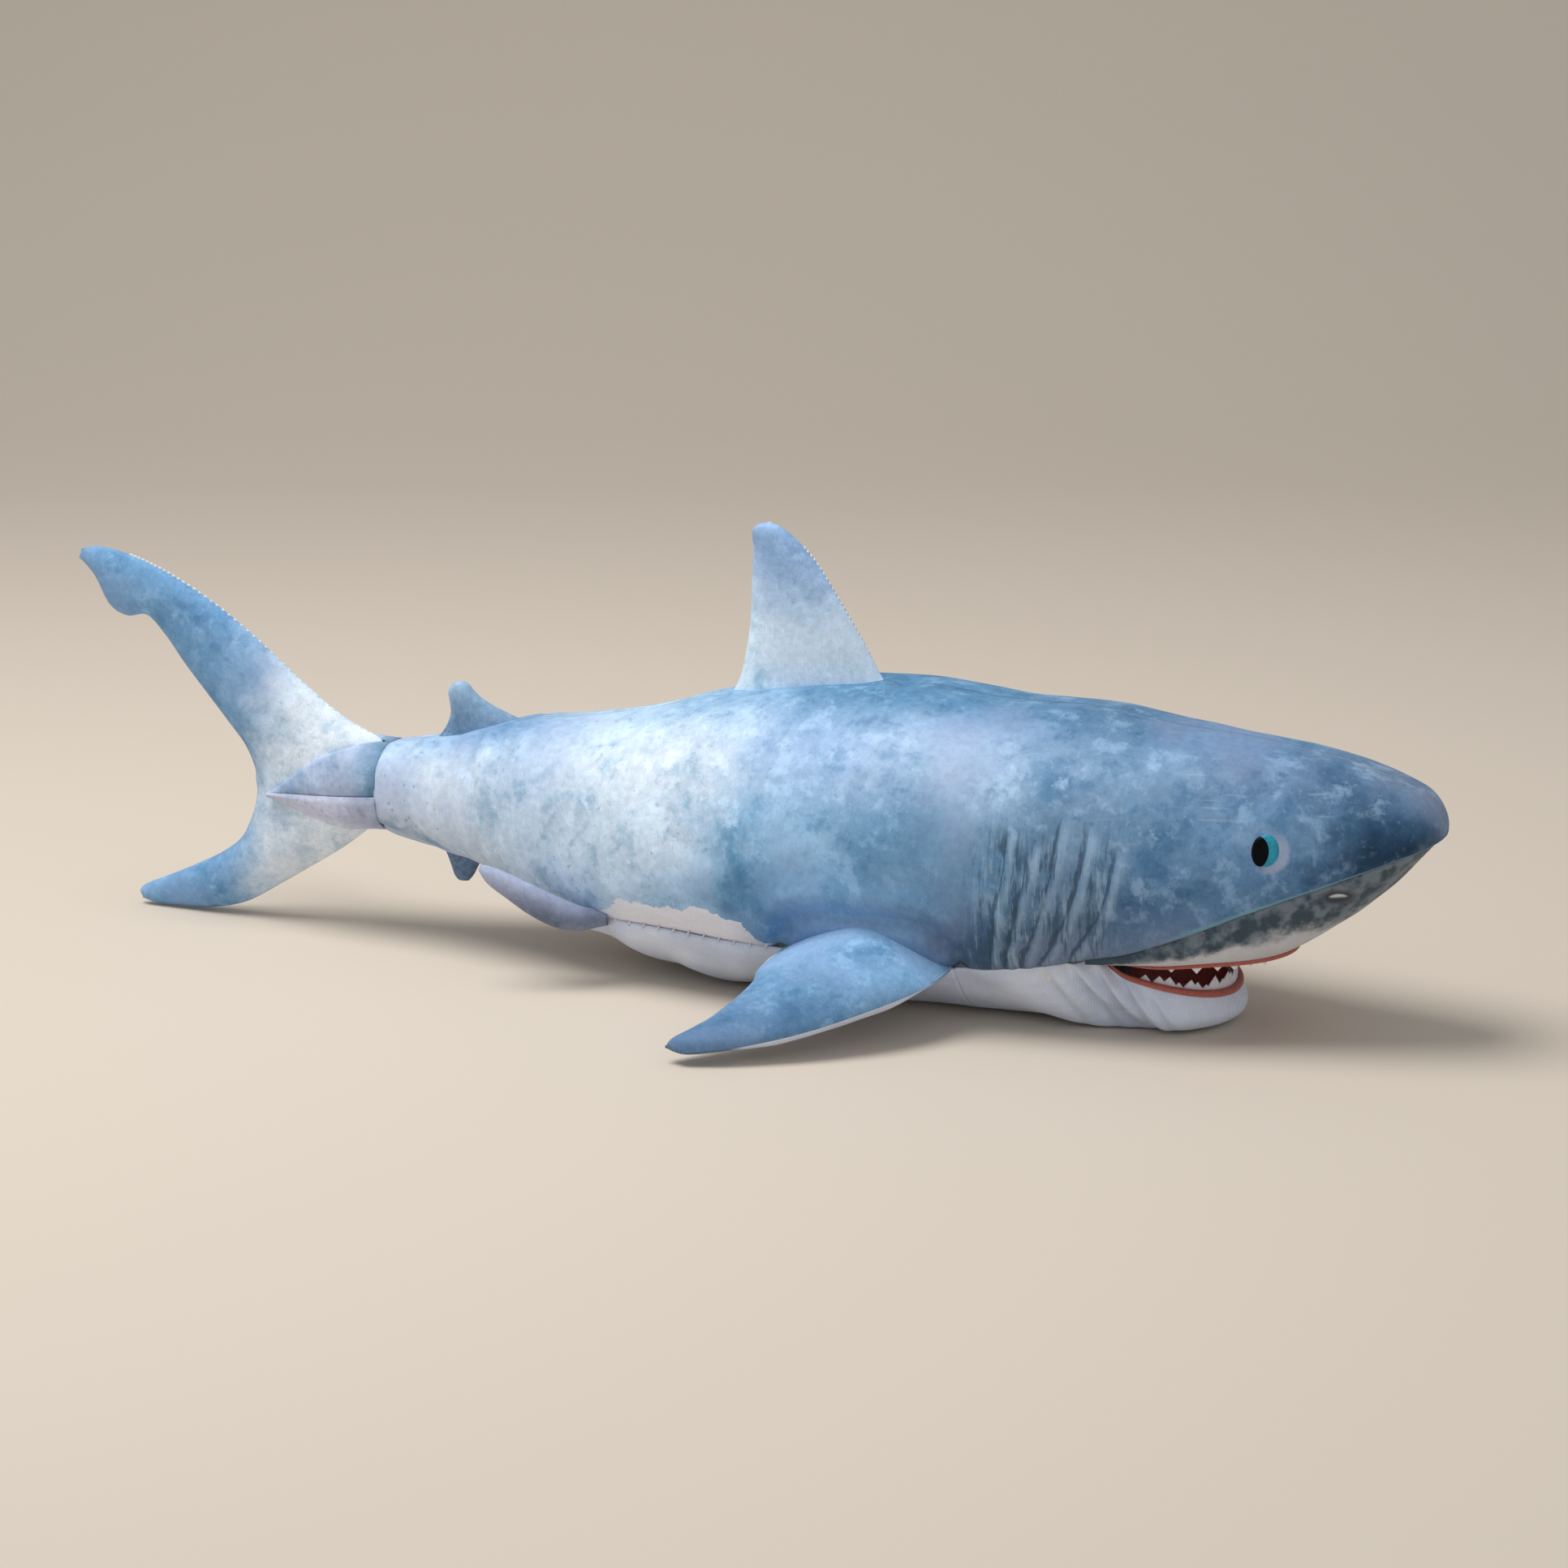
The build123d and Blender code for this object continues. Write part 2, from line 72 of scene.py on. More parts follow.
# x, top, bottom and half width of the stuffed body.
STATIONS = [
    (-190, 80, 56, 15), (-160, 89.8, 48.6, 20.9), (-131, 94.5, 42.5, 27), (-100, 103.5, 34.5, 37),
    (-65, 108.5, 19, 46), (-33, 114, 8, 53), (7, 126, 0, 60), (50, 134, -1, 65), (90, 135.5, -1, 67),
    (140, 131.5, -1, 65), (180, 131, -1, 60), (210, 127, 3, 54), (240, 123, 14, 47), (270, 119, 40, 39),
    (292, 114.5, 60, 32), (306, 109.5, 72, 26), (321, 101.5, 82, 19),
]
# x and height of the seam between the blue back and the white underside.
SEAM = [
    (-200, 60), (-160, 52), (-130, 44), (-95, 36), (-60, 31), (0, 29), (60, 27), (120, 26), (160, 30),
    (184, 36), (204, 41), (231, 51.5), (258, 62.5), (284, 73), (304, 81), (321, 88.5),
]


def clamp(value, low=0.0, high=1.0):
    return max(low, min(high, value))


def smooth(value):
    value = clamp(value)
    return value * value * (3 - 2 * value)


def mix(first, second, share):
    return first + (second - first) * share


def bell(value, centre, width):
    return math.exp(-((value - centre) / width) ** 2)


def signed_power(value, power):
    return math.copysign(abs(value) ** power, value)


def curve_at(rows, x):
    """A smooth curve through rows that start with x: the other values at this x."""
    last = len(rows) - 2
    here = 0
    while here < last and x > rows[here + 1][0]:
        here += 1
    start, end = rows[here], rows[here + 1]
    before, after = rows[max(here - 1, 0)], rows[min(here + 2, last + 1)]
    gap = end[0] - start[0]
    share = clamp((x - start[0]) / gap, -0.2, 1.2)
    values = []
    for item in range(1, len(start)):
        rise_in = (end[item] - before[item]) / (end[0] - before[0]) * gap
        rise_out = (after[item] - start[item]) / (after[0] - start[0]) * gap
        values.append(
            start[item] * (1 + 2 * share) * (1 - share) ** 2
            + rise_in * share * (1 - share) ** 2
            + end[item] * share ** 2 * (3 - 2 * share)
            + rise_out * share ** 2 * (share - 1)
        )
    return values


def row_curve(rows, share):
    """A smooth curve through evenly numbered rows, at a share from 0 to 1."""
    return curve_at([(number, *row) for number, row in enumerate(rows)], share * (len(rows) - 1))


def lumps(point, size, seed=0.0):
    """Soft noise from -1 to 1 with lumps of about this size in millimetres."""
    return noise.noise(Vector(point) / size + Vector((seed, seed * 0.7, seed * 1.3)))


# Gill slits: x at the foot and at the top, how far the middle bows forward, lowest and highest point.
GILLS = [
    (143, 152, 0.5, 26, 90), (149, 161, 2.0, 24, 84), (155, 172, 3.5, 26, 97), (161, 184, 6.0, 28, 95),
    (170, 196, 8.0, 30, 86),
]
GILL_FOOT, GILL_RISE = 26.0, 68.0
# Pale of the gill strokes, also painted on each gill ridge as a highlight.
GILL_PALE_AND_RIDGE_HIGHLIGHT = (0.40, 0.54, 0.68, 1)
GILL_SLIT = (0.03, 0.055, 0.09, 1)


def gill_line(z, foot, top, bow):
    """x of a gill slit at this height."""
    rise = (z - GILL_FOOT) / GILL_RISE
    return mix(foot, top, rise) + bow * math.sin(clamp(rise) * math.pi)


# ---- the body's shape ----
def body_section(x):
    """Top, bottom, half width and middle height of the body at x, rounded off at the nose."""
    top, bottom, half = curve_at(STATIONS, x)
    middle = bottom + 0.45 * (top - bottom)
    close = clamp((x - 306) / (NOSE_X + 0.5 - 306))
    shrink = math.sqrt(max(1 - close ** 2.8, 0))
    return middle + (top - middle) * shrink, middle - (middle - bottom) * shrink, half * shrink, middle


def seam_angle(x):
    """Where the side seam lies round the body's section, in radians from level."""
    top, bottom, _, middle = body_section(x)
    height = curve_at(SEAM, x)[0]
    reach = top - middle if height > middle else middle - bottom
    if reach < 0.01:
        return 0.0
    return math.asin(signed_power(clamp((height - middle) / reach, -1, 1), 1 / 0.85))


def body_point(x, angle, side, proud=0.0):
    """A point on the body's outside. The angle is 90 degrees at the spine and -90 under the belly."""
    top, bottom, half, middle = body_section(x)
    reach = top - middle if angle > 0 else middle - bottom
    across, up = math.cos(angle), math.sin(angle)
    point = Vector((x, side * half * abs(across) ** 0.85, middle + reach * signed_power(up, 0.85)))
    outward = Vector((0, side * across, up))
    point += outward * proud
    point.z = max(point.z, 0.2 - 0.3 * min(proud, 0))
    return point


def flank_y(x, z):
    """The body's half width at this height."""
    top, bottom, half, middle = body_section(x)
    reach = top - middle if z > middle else middle - bottom
    rise = clamp((z - middle) / max(reach, 0.1), -1, 1)
    return half * math.cos(math.asin(signed_power(rise, 1 / 0.85))) ** 0.85


def body_lumps(point):
    return 1.3 * lumps(point, 48) + 0.5 * lumps(point, 19, 3)


def face_relief(x, z):
    """A swollen cheek behind the mouth's corner, the brow over the eye and the hollow the eye lies in."""
    cheek = 2.2 * bell(x, 205, 24) * bell(z, 62, 18)
    brow = 1.1 * bell(x, EYE[0] + 4, 16) * bell(z, EYE[1] + 15, 8)
    return cheek + brow - 0.8 * bell(x, EYE[0], 9) * bell(z, EYE[1], 9)


def back_relief(x, share, side):
    """How far the back fabric stands proud of the plain shape: lumps, seams, folds and puckers."""
    angle = mix(math.pi / 2, seam_angle(x), share)
    point = body_point(x, angle, side)
    proud = body_lumps(point) + face_relief(x, point.z)
    girth = 1.6 * body_section(x)[2] + 12
    proud -= GROOVE * bell((1 - share) * girth, 0, 2.6) + 0.35 * bell(share * girth, 0, 2.2)
    # Upright folds where the tail bends.
    fold = smooth((0.97 - share) * 5) * smooth(share * 5)
    for centre, depth in ((-72, 1.1), (-84, 1.9), (-95, 2.8), (-107, 2.9), (-118, 2.0), (-141, 1.0)):
        lean = 10 * (share - 0.5) + 5 * lumps(point, 40, centre)
        proud -= depth * fold * bell(x, centre + lean, 2.9)
    proud -= 0.4 * bell(x, STOCK_X, 2.5)
    # The dorsal fin pulls the back into a shallow hollow round its root.
    root = math.hypot(max(abs(x - 43) - 33, 0), point.y * 1.2 if point.z > 100 else 60)
    proud -= 1.6 * bell(root, 9, 5)
    proud -= 1.6 * bell(x, 87, 4) * bell(point.y, 0, 9) if point.z > 100 else 0
    # The pectoral fin's root sits in a fold of the flank.
    around = math.hypot(max(abs(x - 90) - 20, 0), max(point.z - 27, 0))
    proud -= 3.0 * bell(around, 20, 4.0)
    proud += 1.3 * bell(around, 28, 5.5) * smooth((point.z - 24) / 14)
    # Folds fan out ahead of the fin's root.
    for foot, top, depth in ((131, 137, 1.5), (137, 147, 1.1)):
        line = mix(foot, top, (point.z - 26) / 45)
        proud -= depth * bell(x, line, 2.6) * bell(point.z, 42, 20)
    # Gill folds: a slit with a soft ridge on both its sides.
    for foot, top, bow, low, high in GILLS:
        line = gill_line(point.z, foot, top, bow)
        reach = smooth((point.z - low) / 8) * smooth((high - point.z) / 8)
        proud += reach * (0.8 * bell(x, line + 3.2, 2.4) - 1.3 * bell(x, line, 1.5))
    return proud


def belly_relief(x, share, side):
    """The same for the underside, which lies slack on what it rests on."""
    angle = mix(seam_angle(x), -math.pi / 2, share)
    point = body_point(x, angle, side)
    girth = body_section(x)[2] + 8
    proud = 0.9 * lumps(point, 34, 5) - GROOVE * bell(share * girth, 0, 2.6)
    slack = smooth(share * 6) * smooth((1 - share) * 2)
    proud += slack * 2.6 * lumps((x, share * 40, 0), 18, 9)
    proud -= 0.4 * bell(x, STOCK_X, 2.5)
    return proud


# ---- the mouth's shape ----
# Half width and length of the lips, seen from above.
UPPER_MOUTH = (45.0, 75.0)
LOWER_MOUTH = (39.5, 50.5)
# Heights of the teeth from a corner to the front.
UPPER_TEETH = (4.0, 5.2, 4.7, 5.0, 4.2, 4.6, 3.4, 2.8, 2.4)
LOWER_TEETH = (4.4, 5.4, 6.0, 4.2, 6.2, 5.4, 4.4, 8.2, 6.4, 9.0, 8.4, 8.8)


def lip_point(size, turn, inset=0.0, lower=False):
    """A point along the lip. The turn is -1 at the right corner, 0 at the front and 1 at the left corner."""
    half, length = size
    angle = abs(turn) * math.pi / 2
    forward = (length - inset) * math.cos(angle) ** 0.77
    across = (half - inset) * math.sin(angle)
    if lower:
        corner = bell(forward, 0, 7)
        height = MOUTH[1] * corner + (29.5 - 0.28 * forward) * (1 - corner)
    else:
        height = MOUTH[1] + 0.015 * forward - 1.6 * bell(forward, 26, 16)
    return Vector((MOUTH[0] + forward, across * (1 if turn > 0 else -1), height))


def seam_point(x, side):
    """A point on the side seam."""
    return body_point(x, seam_angle(x), side, -GROOVE)


# ---- fins, as rows of front x, front height, rear x, rear height, half thickness ----
DORSAL = [
    (83, 122, 2, 116, 8.8), (79, 130, 6, 124, 8.8), (73.5, 139, 10, 132, 8.4), (68, 149, 13.2, 146, 7.8),
    (61, 160, 14.8, 158, 7.1), (54, 171, 15.2, 170, 6.5), (46.5, 182, 15.8, 182, 5.9),
    (38.5, 191, 16, 190, 5.3), (31, 197, 15.5, 196, 4.6), (23.5, 200.6, 18, 199.3, 3.0),
]
TAIL_FIN = [
    (-293, 2.5, -294.5, 6, 1.8), (-285, 0.9, -291, 9.5, 3.2), (-272, 0.8, -275, 16.5, 4.6),
    (-257, 1.4, -263, 22, 5.8), (-238, 6, -249.4, 29, 7.0), (-220, 16, -238.5, 37.5, 8.6),
    (-202, 27, -232, 50, 10.8), (-184, 38.5, -230, 59, 12.2), (-169, 52, -230.5, 65, 13.0),
    (-164, 70, -231, 71, 13.0), (-163, 86.5, -236, 82, 11.8), (-185, 98.5, -245, 93, 9.6),
    (-205, 113, -254, 103.5, 8.2), (-226, 130, -265.5, 117, 7.2), (-248, 145.5, -275, 129.5, 6.3),
    (-268, 156.5, -284.5, 138.5, 5.6), (-284, 163.4, -295, 137.5, 5.0), (-298, 167.5, -304, 142, 4.6),
    (-309, 169, -311, 155, 4.2), (-318, 167.5, -319.5, 163.5, 2.2),
]
PECTORAL = [
    (38, -14, -34, -14, 15.0), (38.5, -6, -36, -6, 17.0), (38.5, 2, -38, 2, 17.0), (36, 12, -40, 10, 15.0),
    (31, 23, -40.5, 20, 12.5), (24, 34, -38.5, 30, 10.6), (14, 46, -39.5, 41, 9.2), (1, 59, -42.5, 53, 7.9),
    (-13, 70, -46.5, 64, 6.8), (-27, 79, -51, 73, 5.8), (-39, 84.5, -55, 80, 5.0),
    (-48, 87.5, -56, 84.5, 3.6),
]
PELVIC = [
    (3.0, -5, -4.0, -5, 3.4), (3.5, 0, -5, 0, 4.0), (5.5, 7, -6, 8, 5.0), (9, 16, -4.5, 18, 5.4),
    (13.5, 26, 0.5, 28.5, 5.0), (18, 36, 7.5, 38.5, 4.4), (21.5, 45, 14, 47, 3.6), (22.5, 50, 20, 51, 1.8),
]
SECOND_DORSAL = [
    (-86, 100, -146, 86, 5.4), (-98, 105, -138, 92, 5.4), (-107, 108.5, -133, 97.5, 5.0),
    (-114, 111.8, -130.2, 104, 4.8), (-118.5, 115.2, -130.4, 109.5, 4.6), (-121, 118, -131, 114.5, 4.0),
    (-124, 119.6, -128.5, 118.8, 2.4),
]
ANAL_FIN = [
    (-110, 46, -140, 50, 5.0), (-115, 40, -134.5, 41, 4.8), (-118, 34.5, -131.8, 35, 4.4),
    (-120.5, 30, -130, 30, 3.8), (-123, 27, -127.8, 27, 2.2),
]


def fin_point(rows, out, across, face, inset=0.0):
    """A point on a stuffed fin: out runs from root to tip, across from front edge to rear edge.

    Returns the two flat measures and the height over the fin's middle.
    """
    front_x, front_z, rear_x, rear_z, half = row_curve(rows, out)
    plump = clamp((half - 11) / 5)
    crown = (1 - abs(2 * across - 1) ** mix(2.3, 1.6, plump)) ** mix(0.62, 1.0, plump)
    front, rear = Vector((front_x, front_z)), Vector((rear_x, rear_z))
    chord = (front - rear).length
    squeeze = 1 - 2 * min(inset / max(chord, 1), 0.4)
    along = 0.5 + (across - 0.5) * squeeze
    spot = front.lerp(rear, along)
    edge = min(across, 1 - across) * chord
    thick = max(half - inset, 0.3) * crown * math.sqrt(1 - clamp((out - 0.94) / 0.06) ** 2)
    if rows is TAIL_FIN:
        thick *= math.sqrt(1 - clamp((0.05 - out) / 0.05) ** 2)
    pucker = lumps((spot.x, spot.y, 10 * face), 11, 4) * bell(edge, 7, 7) * 0.55
    thick += (pucker + 0.5 * lumps((spot.x, spot.y, 5 * face), 26)) * min(crown, 1) * min(half / 8, 1)
    return spot.x, spot.y, face * max(thick, 0.25 if inset == 0 else 0.1)


def pectoral_place(side, spot_x, out, height):
    """Pectoral fin's flat measures turned into the toy's space: tilted down, lifted a little midway, with a
    thinner underside towards the tip.
    """
    droop = math.radians(14)
    under = 0.95 - 0.45 * smooth((out - 66) / 16)
    lift = (height if height > 0 else under * height) + 1.5 * bell(out, 40, 25)
    out_y = math.cos(droop) * out + math.sin(droop) * lift
    out_z = -math.sin(droop) * out + math.cos(droop) * lift
    return Vector((88 + spot_x, side * (58 + out_y), max(27 + out_z, 0.4)))


def pelvic_place(side, rise, out, height):
    """Pelvic leaf's measures: it trails back along the flank and rises."""
    back = Vector((-0.97, side * 0.243, 0))
    outward = Vector((0.243, side * 0.97, 0))
    tuck = 3.5 * smooth((7 - out) / 10)
    return Vector((-38, side * 51, 31)) + back * out + outward * (height - tuck) + Vector((0, 0, rise))


# ---- building blocks for meshes ----
def finish_mesh(name, mesh, core, material, thickness=0.0):
    """Close a bmesh's doubles, turn its faces outwards from a core, and make it an object."""
    bmesh.ops.remove_doubles(mesh, verts=mesh.verts, dist=0.00002)
    bmesh.ops.dissolve_degenerate(mesh, edges=mesh.edges, dist=0.00001)
    if core is None:
        bmesh.ops.recalc_face_normals(mesh, faces=mesh.faces)
    else:
        mesh.normal_update()
        outward = 0.0
        for face in mesh.faces:
            centre = face.calc_center_median()
            outward += face.normal.dot(centre - core(centre)) * face.calc_area()
        if outward < 0:
            bmesh.ops.reverse_faces(mesh, faces=mesh.faces)
    data = bpy.data.meshes.new(name)
    for face in mesh.faces:
        face.smooth = True
    mesh.to_mesh(data)
    mesh.free()
    piece = bpy.data.objects.new(name, data)
    bpy.context.scene.collection.objects.link(piece)
    data.materials.append(material)
    if thickness:
        wall = piece.modifiers.new("fabric", "SOLIDIFY")
        wall.thickness = thickness
        wall.offset = -1
    return piece


def add_sheet(mesh, columns, rows, place):
    """Lay one grid of fabric into a bmesh. place gives each vertex from its two shares."""
    if not mesh.loops.layers.uv:
        mesh.loops.layers.uv.new("cut")
    made = bmesh.ops.create_grid(mesh, x_segments=columns, y_segments=rows, size=0.5, calc_uvs=True)
    for vertex in made["verts"]:
        vertex.co = place(clamp(vertex.co.x + 0.5), clamp(vertex.co.y + 0.5)) * MM
    return made["verts"]


def sheet_piece(name, columns, rows, places, core, material, thickness=1.2 * MM):
    """A fabric panel made of one or more grids."""
    mesh = bmesh.new()
    for place in places:
        add_sheet(mesh, columns, rows, place)
    return finish_mesh(name, mesh, core, material, thickness)


def tube_piece(name, columns, around, path, radius, material):
    """A round cord of fabric along a path, tapered shut at both ends."""
    def place(share, turn):
        here, step = path(share), 0.002
        ahead = (path(min(share + step, 1)) - path(max(share - step, 0))).normalized()
        side = ahead.cross(Vector((0, 0, 1))).normalized()
        up = side.cross(ahead)
        size = radius(share) * min(1, math.sqrt(clamp(min(share, 1 - share) * 14)))
        angle = turn * 2 * math.pi
        return here + side * math.cos(angle) * size + up * math.sin(angle) * size

    mesh = bmesh.new()
    add_sheet(mesh, columns, around, place)
    return finish_mesh(name, mesh, None, material)


def body_core(point):
    """The middle of the body beside a point, for turning faces outwards."""
    return Vector((point.x, 0, 0.065))


def middle_plane(point):
    """The spot on the toy's middle plane beside a point."""
    return Vector((point.x, 0, point.z))


def stitches_piece(name, spots, length, radius, material):
    """Short thread stitches, each a small bean laid along its direction on the fabric."""
    mesh = bmesh.new()
    for spot, along, outward in spots:
        along = along.normalized()
        across = outward.cross(along).normalized()
        up = along.cross(across)
        turn = Matrix((along, across, up)).transposed().to_4x4()
        grow = Matrix.Diagonal((length / 2 * MM, radius * MM, radius * MM, 1))
        bmesh.ops.create_uvsphere(
            mesh, u_segments=8, v_segments=6, radius=1, matrix=Matrix.Translation(spot * MM) @ turn @ grow
        )
    return finish_mesh(name, mesh, None, material)


def closed_filling(name, columns, around, place, material):
    """A stuffed core whose grid wraps right round, closed at both ends."""
    mesh = bmesh.new()
    verts = add_sheet(mesh, columns, around, place)
    bmesh.ops.remove_doubles(mesh, verts=verts, dist=0.00002)
    bmesh.ops.holes_fill(mesh, edges=[edge for edge in mesh.edges if edge.is_boundary], sides=0)
    piece = finish_mesh(name, mesh, None, material)
    return piece


# ---- materials ----
class Nodes:
    """Adds and links shader nodes in one tree."""

    def __init__(self, tree):
        self.tree = tree

    def add(self, kind, values=None, **settings):
        made = self.tree.nodes.new(kind)
        for key, value in settings.items():
            setattr(made, key, value)
        for key, value in (values or {}).items():
            if isinstance(value, bpy.types.NodeSocket):
                self.tree.links.new(value, made.inputs[key])
            else:
                made.inputs[key].default_value = value
        return made

    def math(self, operation, first, second=0.0):
        return self.add("ShaderNodeMath", {0: first, 1: second}, operation=operation).outputs[0]

    def plus(self, first, second):
        return self.math("ADD", first, second)

    def minus(self, first, second):
        return self.math("SUBTRACT", first, second)

    def times(self, first, second):
        return self.math("MULTIPLY", first, second)

    def stray(self, value, reach):
        """A noise value from 0 to 1 as a shift to both sides of 0."""
        return self.times(self.minus(value, 0.5), reach)

    def place(self):
        """Where a point of the surface lies on the toy, in metres."""
        return self.add("ShaderNodeTexCoord").outputs["Object"]

    def scaled(self, vector, scale):
        return self.add("ShaderNodeVectorMath", {0: vector, "Scale": scale}, operation="SCALE").outputs[0]

    def stretched(self, vector, **values):
        return self.add("ShaderNodeMapping", {"Vector": vector, **values}).outputs[0]

    def oval(self, axes, centre, half_x, half_z):
        """Distance from an oval's centre, 1 at its rim, with its two parts. The centre is in millimetres."""
        off_x = self.times(self.minus(axes.outputs["X"], centre[0] * MM), 1 / (half_x * MM))
        off_z = self.times(self.minus(axes.outputs["Z"], centre[1] * MM), 1 / (half_z * MM))
        far = self.math("SQRT", self.plus(self.math("POWER", off_x, 2.0), self.math("POWER", off_z, 2.0)))
        return far, off_x, off_z

    def mix(self, factor, first, second, blend="MIX"):
        made = self.add("ShaderNodeMix", {0: factor, 6: first, 7: second}, data_type="RGBA", blend_type=blend)
        return made.outputs[2]

    def noise(self, vector, scale, detail=3.0, roughness=0.55):
        values = {"Vector": vector, "Scale": scale, "Detail": detail, "Roughness": roughness}
        return self.add("ShaderNodeTexNoise", values).outputs["Fac"]

    def between(self, value, low, high, start=0.0, end=1.0):
        values = {"Value": value, "From Min": low, "From Max": high, "To Min": start, "To Max": end}
        return self.add("ShaderNodeMapRange", values, interpolation_type="SMOOTHSTEP").outputs[0]

    def window(self, value, low, high, soft):
        """1 between low and high, fading out over soft."""
        rise = self.between(value, low - soft, low + soft)
        fall = self.between(value, high - soft, high + soft, 1.0, 0.0)
        return self.times(rise, fall)

    def ramp(self, value, stops):
        made = self.add("ShaderNodeValToRGB", {0: value})
        elements = made.color_ramp.elements
        made.color_ramp.interpolation = "EASE"
        while len(elements) < len(stops):
            elements.new(0.5)
        for element, (place, colour) in zip(elements, stops):
            element.position = place
            element.color = (*colour, 1)
        return made.outputs[0]


def group(name, inputs, outputs):
    """An empty shader node group with named sockets: its tree, its Nodes, its input and its output."""
    tree = bpy.data.node_groups.new(name, "ShaderNodeTree")
    for socket, kind, default in inputs:
        made = tree.interface.new_socket(name=socket, in_out="INPUT", socket_type=kind)
        made.default_value = default
    for socket, kind in outputs:
        tree.interface.new_socket(name=socket, in_out="OUTPUT", socket_type=kind)
    nodes = Nodes(tree)
    return tree, nodes, nodes.add("NodeGroupInput"), nodes.add("NodeGroupOutput")


def pile_group():
    """Short brushed pile over a fine knit: its height, and the light and dark that it gives the colour."""
    tree, nodes, source, result = group(
        "short_pile", [("Size", "NodeSocketFloat", 1.0)],
        [("Height", "NodeSocketFloat"), ("Shade", "NodeSocketFloat")],
    )
    place = nodes.place()
    vector = nodes.scaled(place, source.outputs["Size"])
    fibres = nodes.noise(vector, 1500.0, 2.0)
    wave = {"Vector": vector, "Scale": 330.0, "Distortion": 1.6, "Detail": 2.0, "Detail Scale": 3.0}
    knit = nodes.add("ShaderNodeTexWave", wave, bands_direction="X").outputs["Fac"]
    brushed = nodes.noise(nodes.stretched(vector, Scale=(60.0, 260.0, 260.0)), 1.0, 3.0)
    height = nodes.plus(nodes.times(fibres, 0.6), nodes.times(knit, 0.25))
    height = nodes.plus(height, nodes.times(brushed, 0.5))
    nodes.tree.links.new(height, result.inputs["Height"])
    nodes.tree.links.new(nodes.between(height, 0.35, 1.05, 0.9, 1.08), result.inputs["Shade"])
    return tree


def mottle_group():
    """Watercolour blots: lighter and darker pools of dye with soft edges."""
    tree, nodes, source, result = group(
        "dye_mottle",
        [("Colour", "NodeSocketColor", (0.5, 0.5, 0.5, 1)), ("Amount", "NodeSocketFloat", 1.0),
         ("Size", "NodeSocketFloat", 1.0)],
        [("Colour", "NodeSocketColor")],
    )
    place = nodes.place()
    vector = nodes.scaled(place, source.outputs["Size"])
    pools = nodes.noise(vector, 26.0, 5.0, 0.62)
    blots = nodes.noise(vector, 85.0, 4.0, 0.65)
    flecks = nodes.noise(vector, 210.0, 4.0, 0.7)
    grains = nodes.noise(vector, 300.0, 3.0, 0.6)
    hue = nodes.noise(vector, 14.0, 2.0)
    plain = source.outputs["Colour"]
    dark = nodes.mix(1.0, plain, (0.38, 0.58, 0.68, 1), "MULTIPLY")
    pale = nodes.mix(0.17, nodes.scaled(plain, 1.22), (0.70, 0.86, 1.0, 1))
    lilac = nodes.mix(0.13, plain, (0.66, 0.62, 0.90, 1))
    # Each layer: its noise, where it starts and is full, how strong it is, and its dye.
    colour = plain
    for spread, start, full, strength, dye in (
        (pools, 0.50, 0.72, 1.0, pale), (pools, 0.48, 0.28, 1.0, dark), (blots, 0.52, 0.66, 0.9, pale),
        (blots, 0.48, 0.30, 0.6, dark), (flecks, 0.56, 0.68, 0.4, pale), (flecks, 0.42, 0.30, 0.5, dark),
        (hue, 0.50, 0.66, 1.0, lilac),
    ):
        mask = nodes.times(nodes.between(spread, start, full, 0, strength), source.outputs["Amount"])
        colour = nodes.mix(mask, colour, dye)
    grained = nodes.scaled(colour, nodes.between(grains, 0.3, 0.7, 0.93, 1.07))
    washed = nodes.mix(1.0, grained, (0.96, 0.98, 1.0, 1), "MULTIPLY")
    nodes.tree.links.new(washed, result.inputs["Colour"])
    return tree


def fabric_material(name, colour_of, roughness=0.8, bump=0.25, sheen=0.25, pile_size=1.0, specular=0.25):
    """A fabric with pile, whose colour comes from colour_of(nodes), a socket or a plain colour."""
    material = bpy.data.materials.new(name)
    material.use_nodes = True
    material.node_tree.nodes.clear()
    nodes = Nodes(material.node_tree)
    pile = nodes.add("ShaderNodeGroup", {}, node_tree=GROUPS["pile"])
    pile.inputs["Size"].default_value = pile_size
    colour = colour_of(nodes)
    shaded = nodes.scaled(colour, pile.outputs["Shade"])
    normal = nodes.add(
        "ShaderNodeBump", {"Height": pile.outputs["Height"], "Strength": bump, "Distance": 0.0004},
    ).outputs[0]
    shader = nodes.add("ShaderNodeBsdfPrincipled", {"Base Color": shaded, "Normal": normal})
    shader.inputs["Roughness"].default_value = roughness
    shader.inputs["Sheen Weight"].default_value = sheen
    shader.inputs["Sheen Roughness"].default_value = 0.45
    shader.inputs["Specular IOR Level"].default_value = specular
    nodes.add("ShaderNodeOutputMaterial", {"Surface": shader.outputs[0]})
    return material


def mottled(nodes, colour, amount=1.0, size=1.0):
    made = nodes.add("ShaderNodeGroup", {"Colour": colour}, node_tree=GROUPS["mottle"])
    made.inputs["Amount"].default_value = amount
    made.inputs["Size"].default_value = size
    return made.outputs["Colour"]


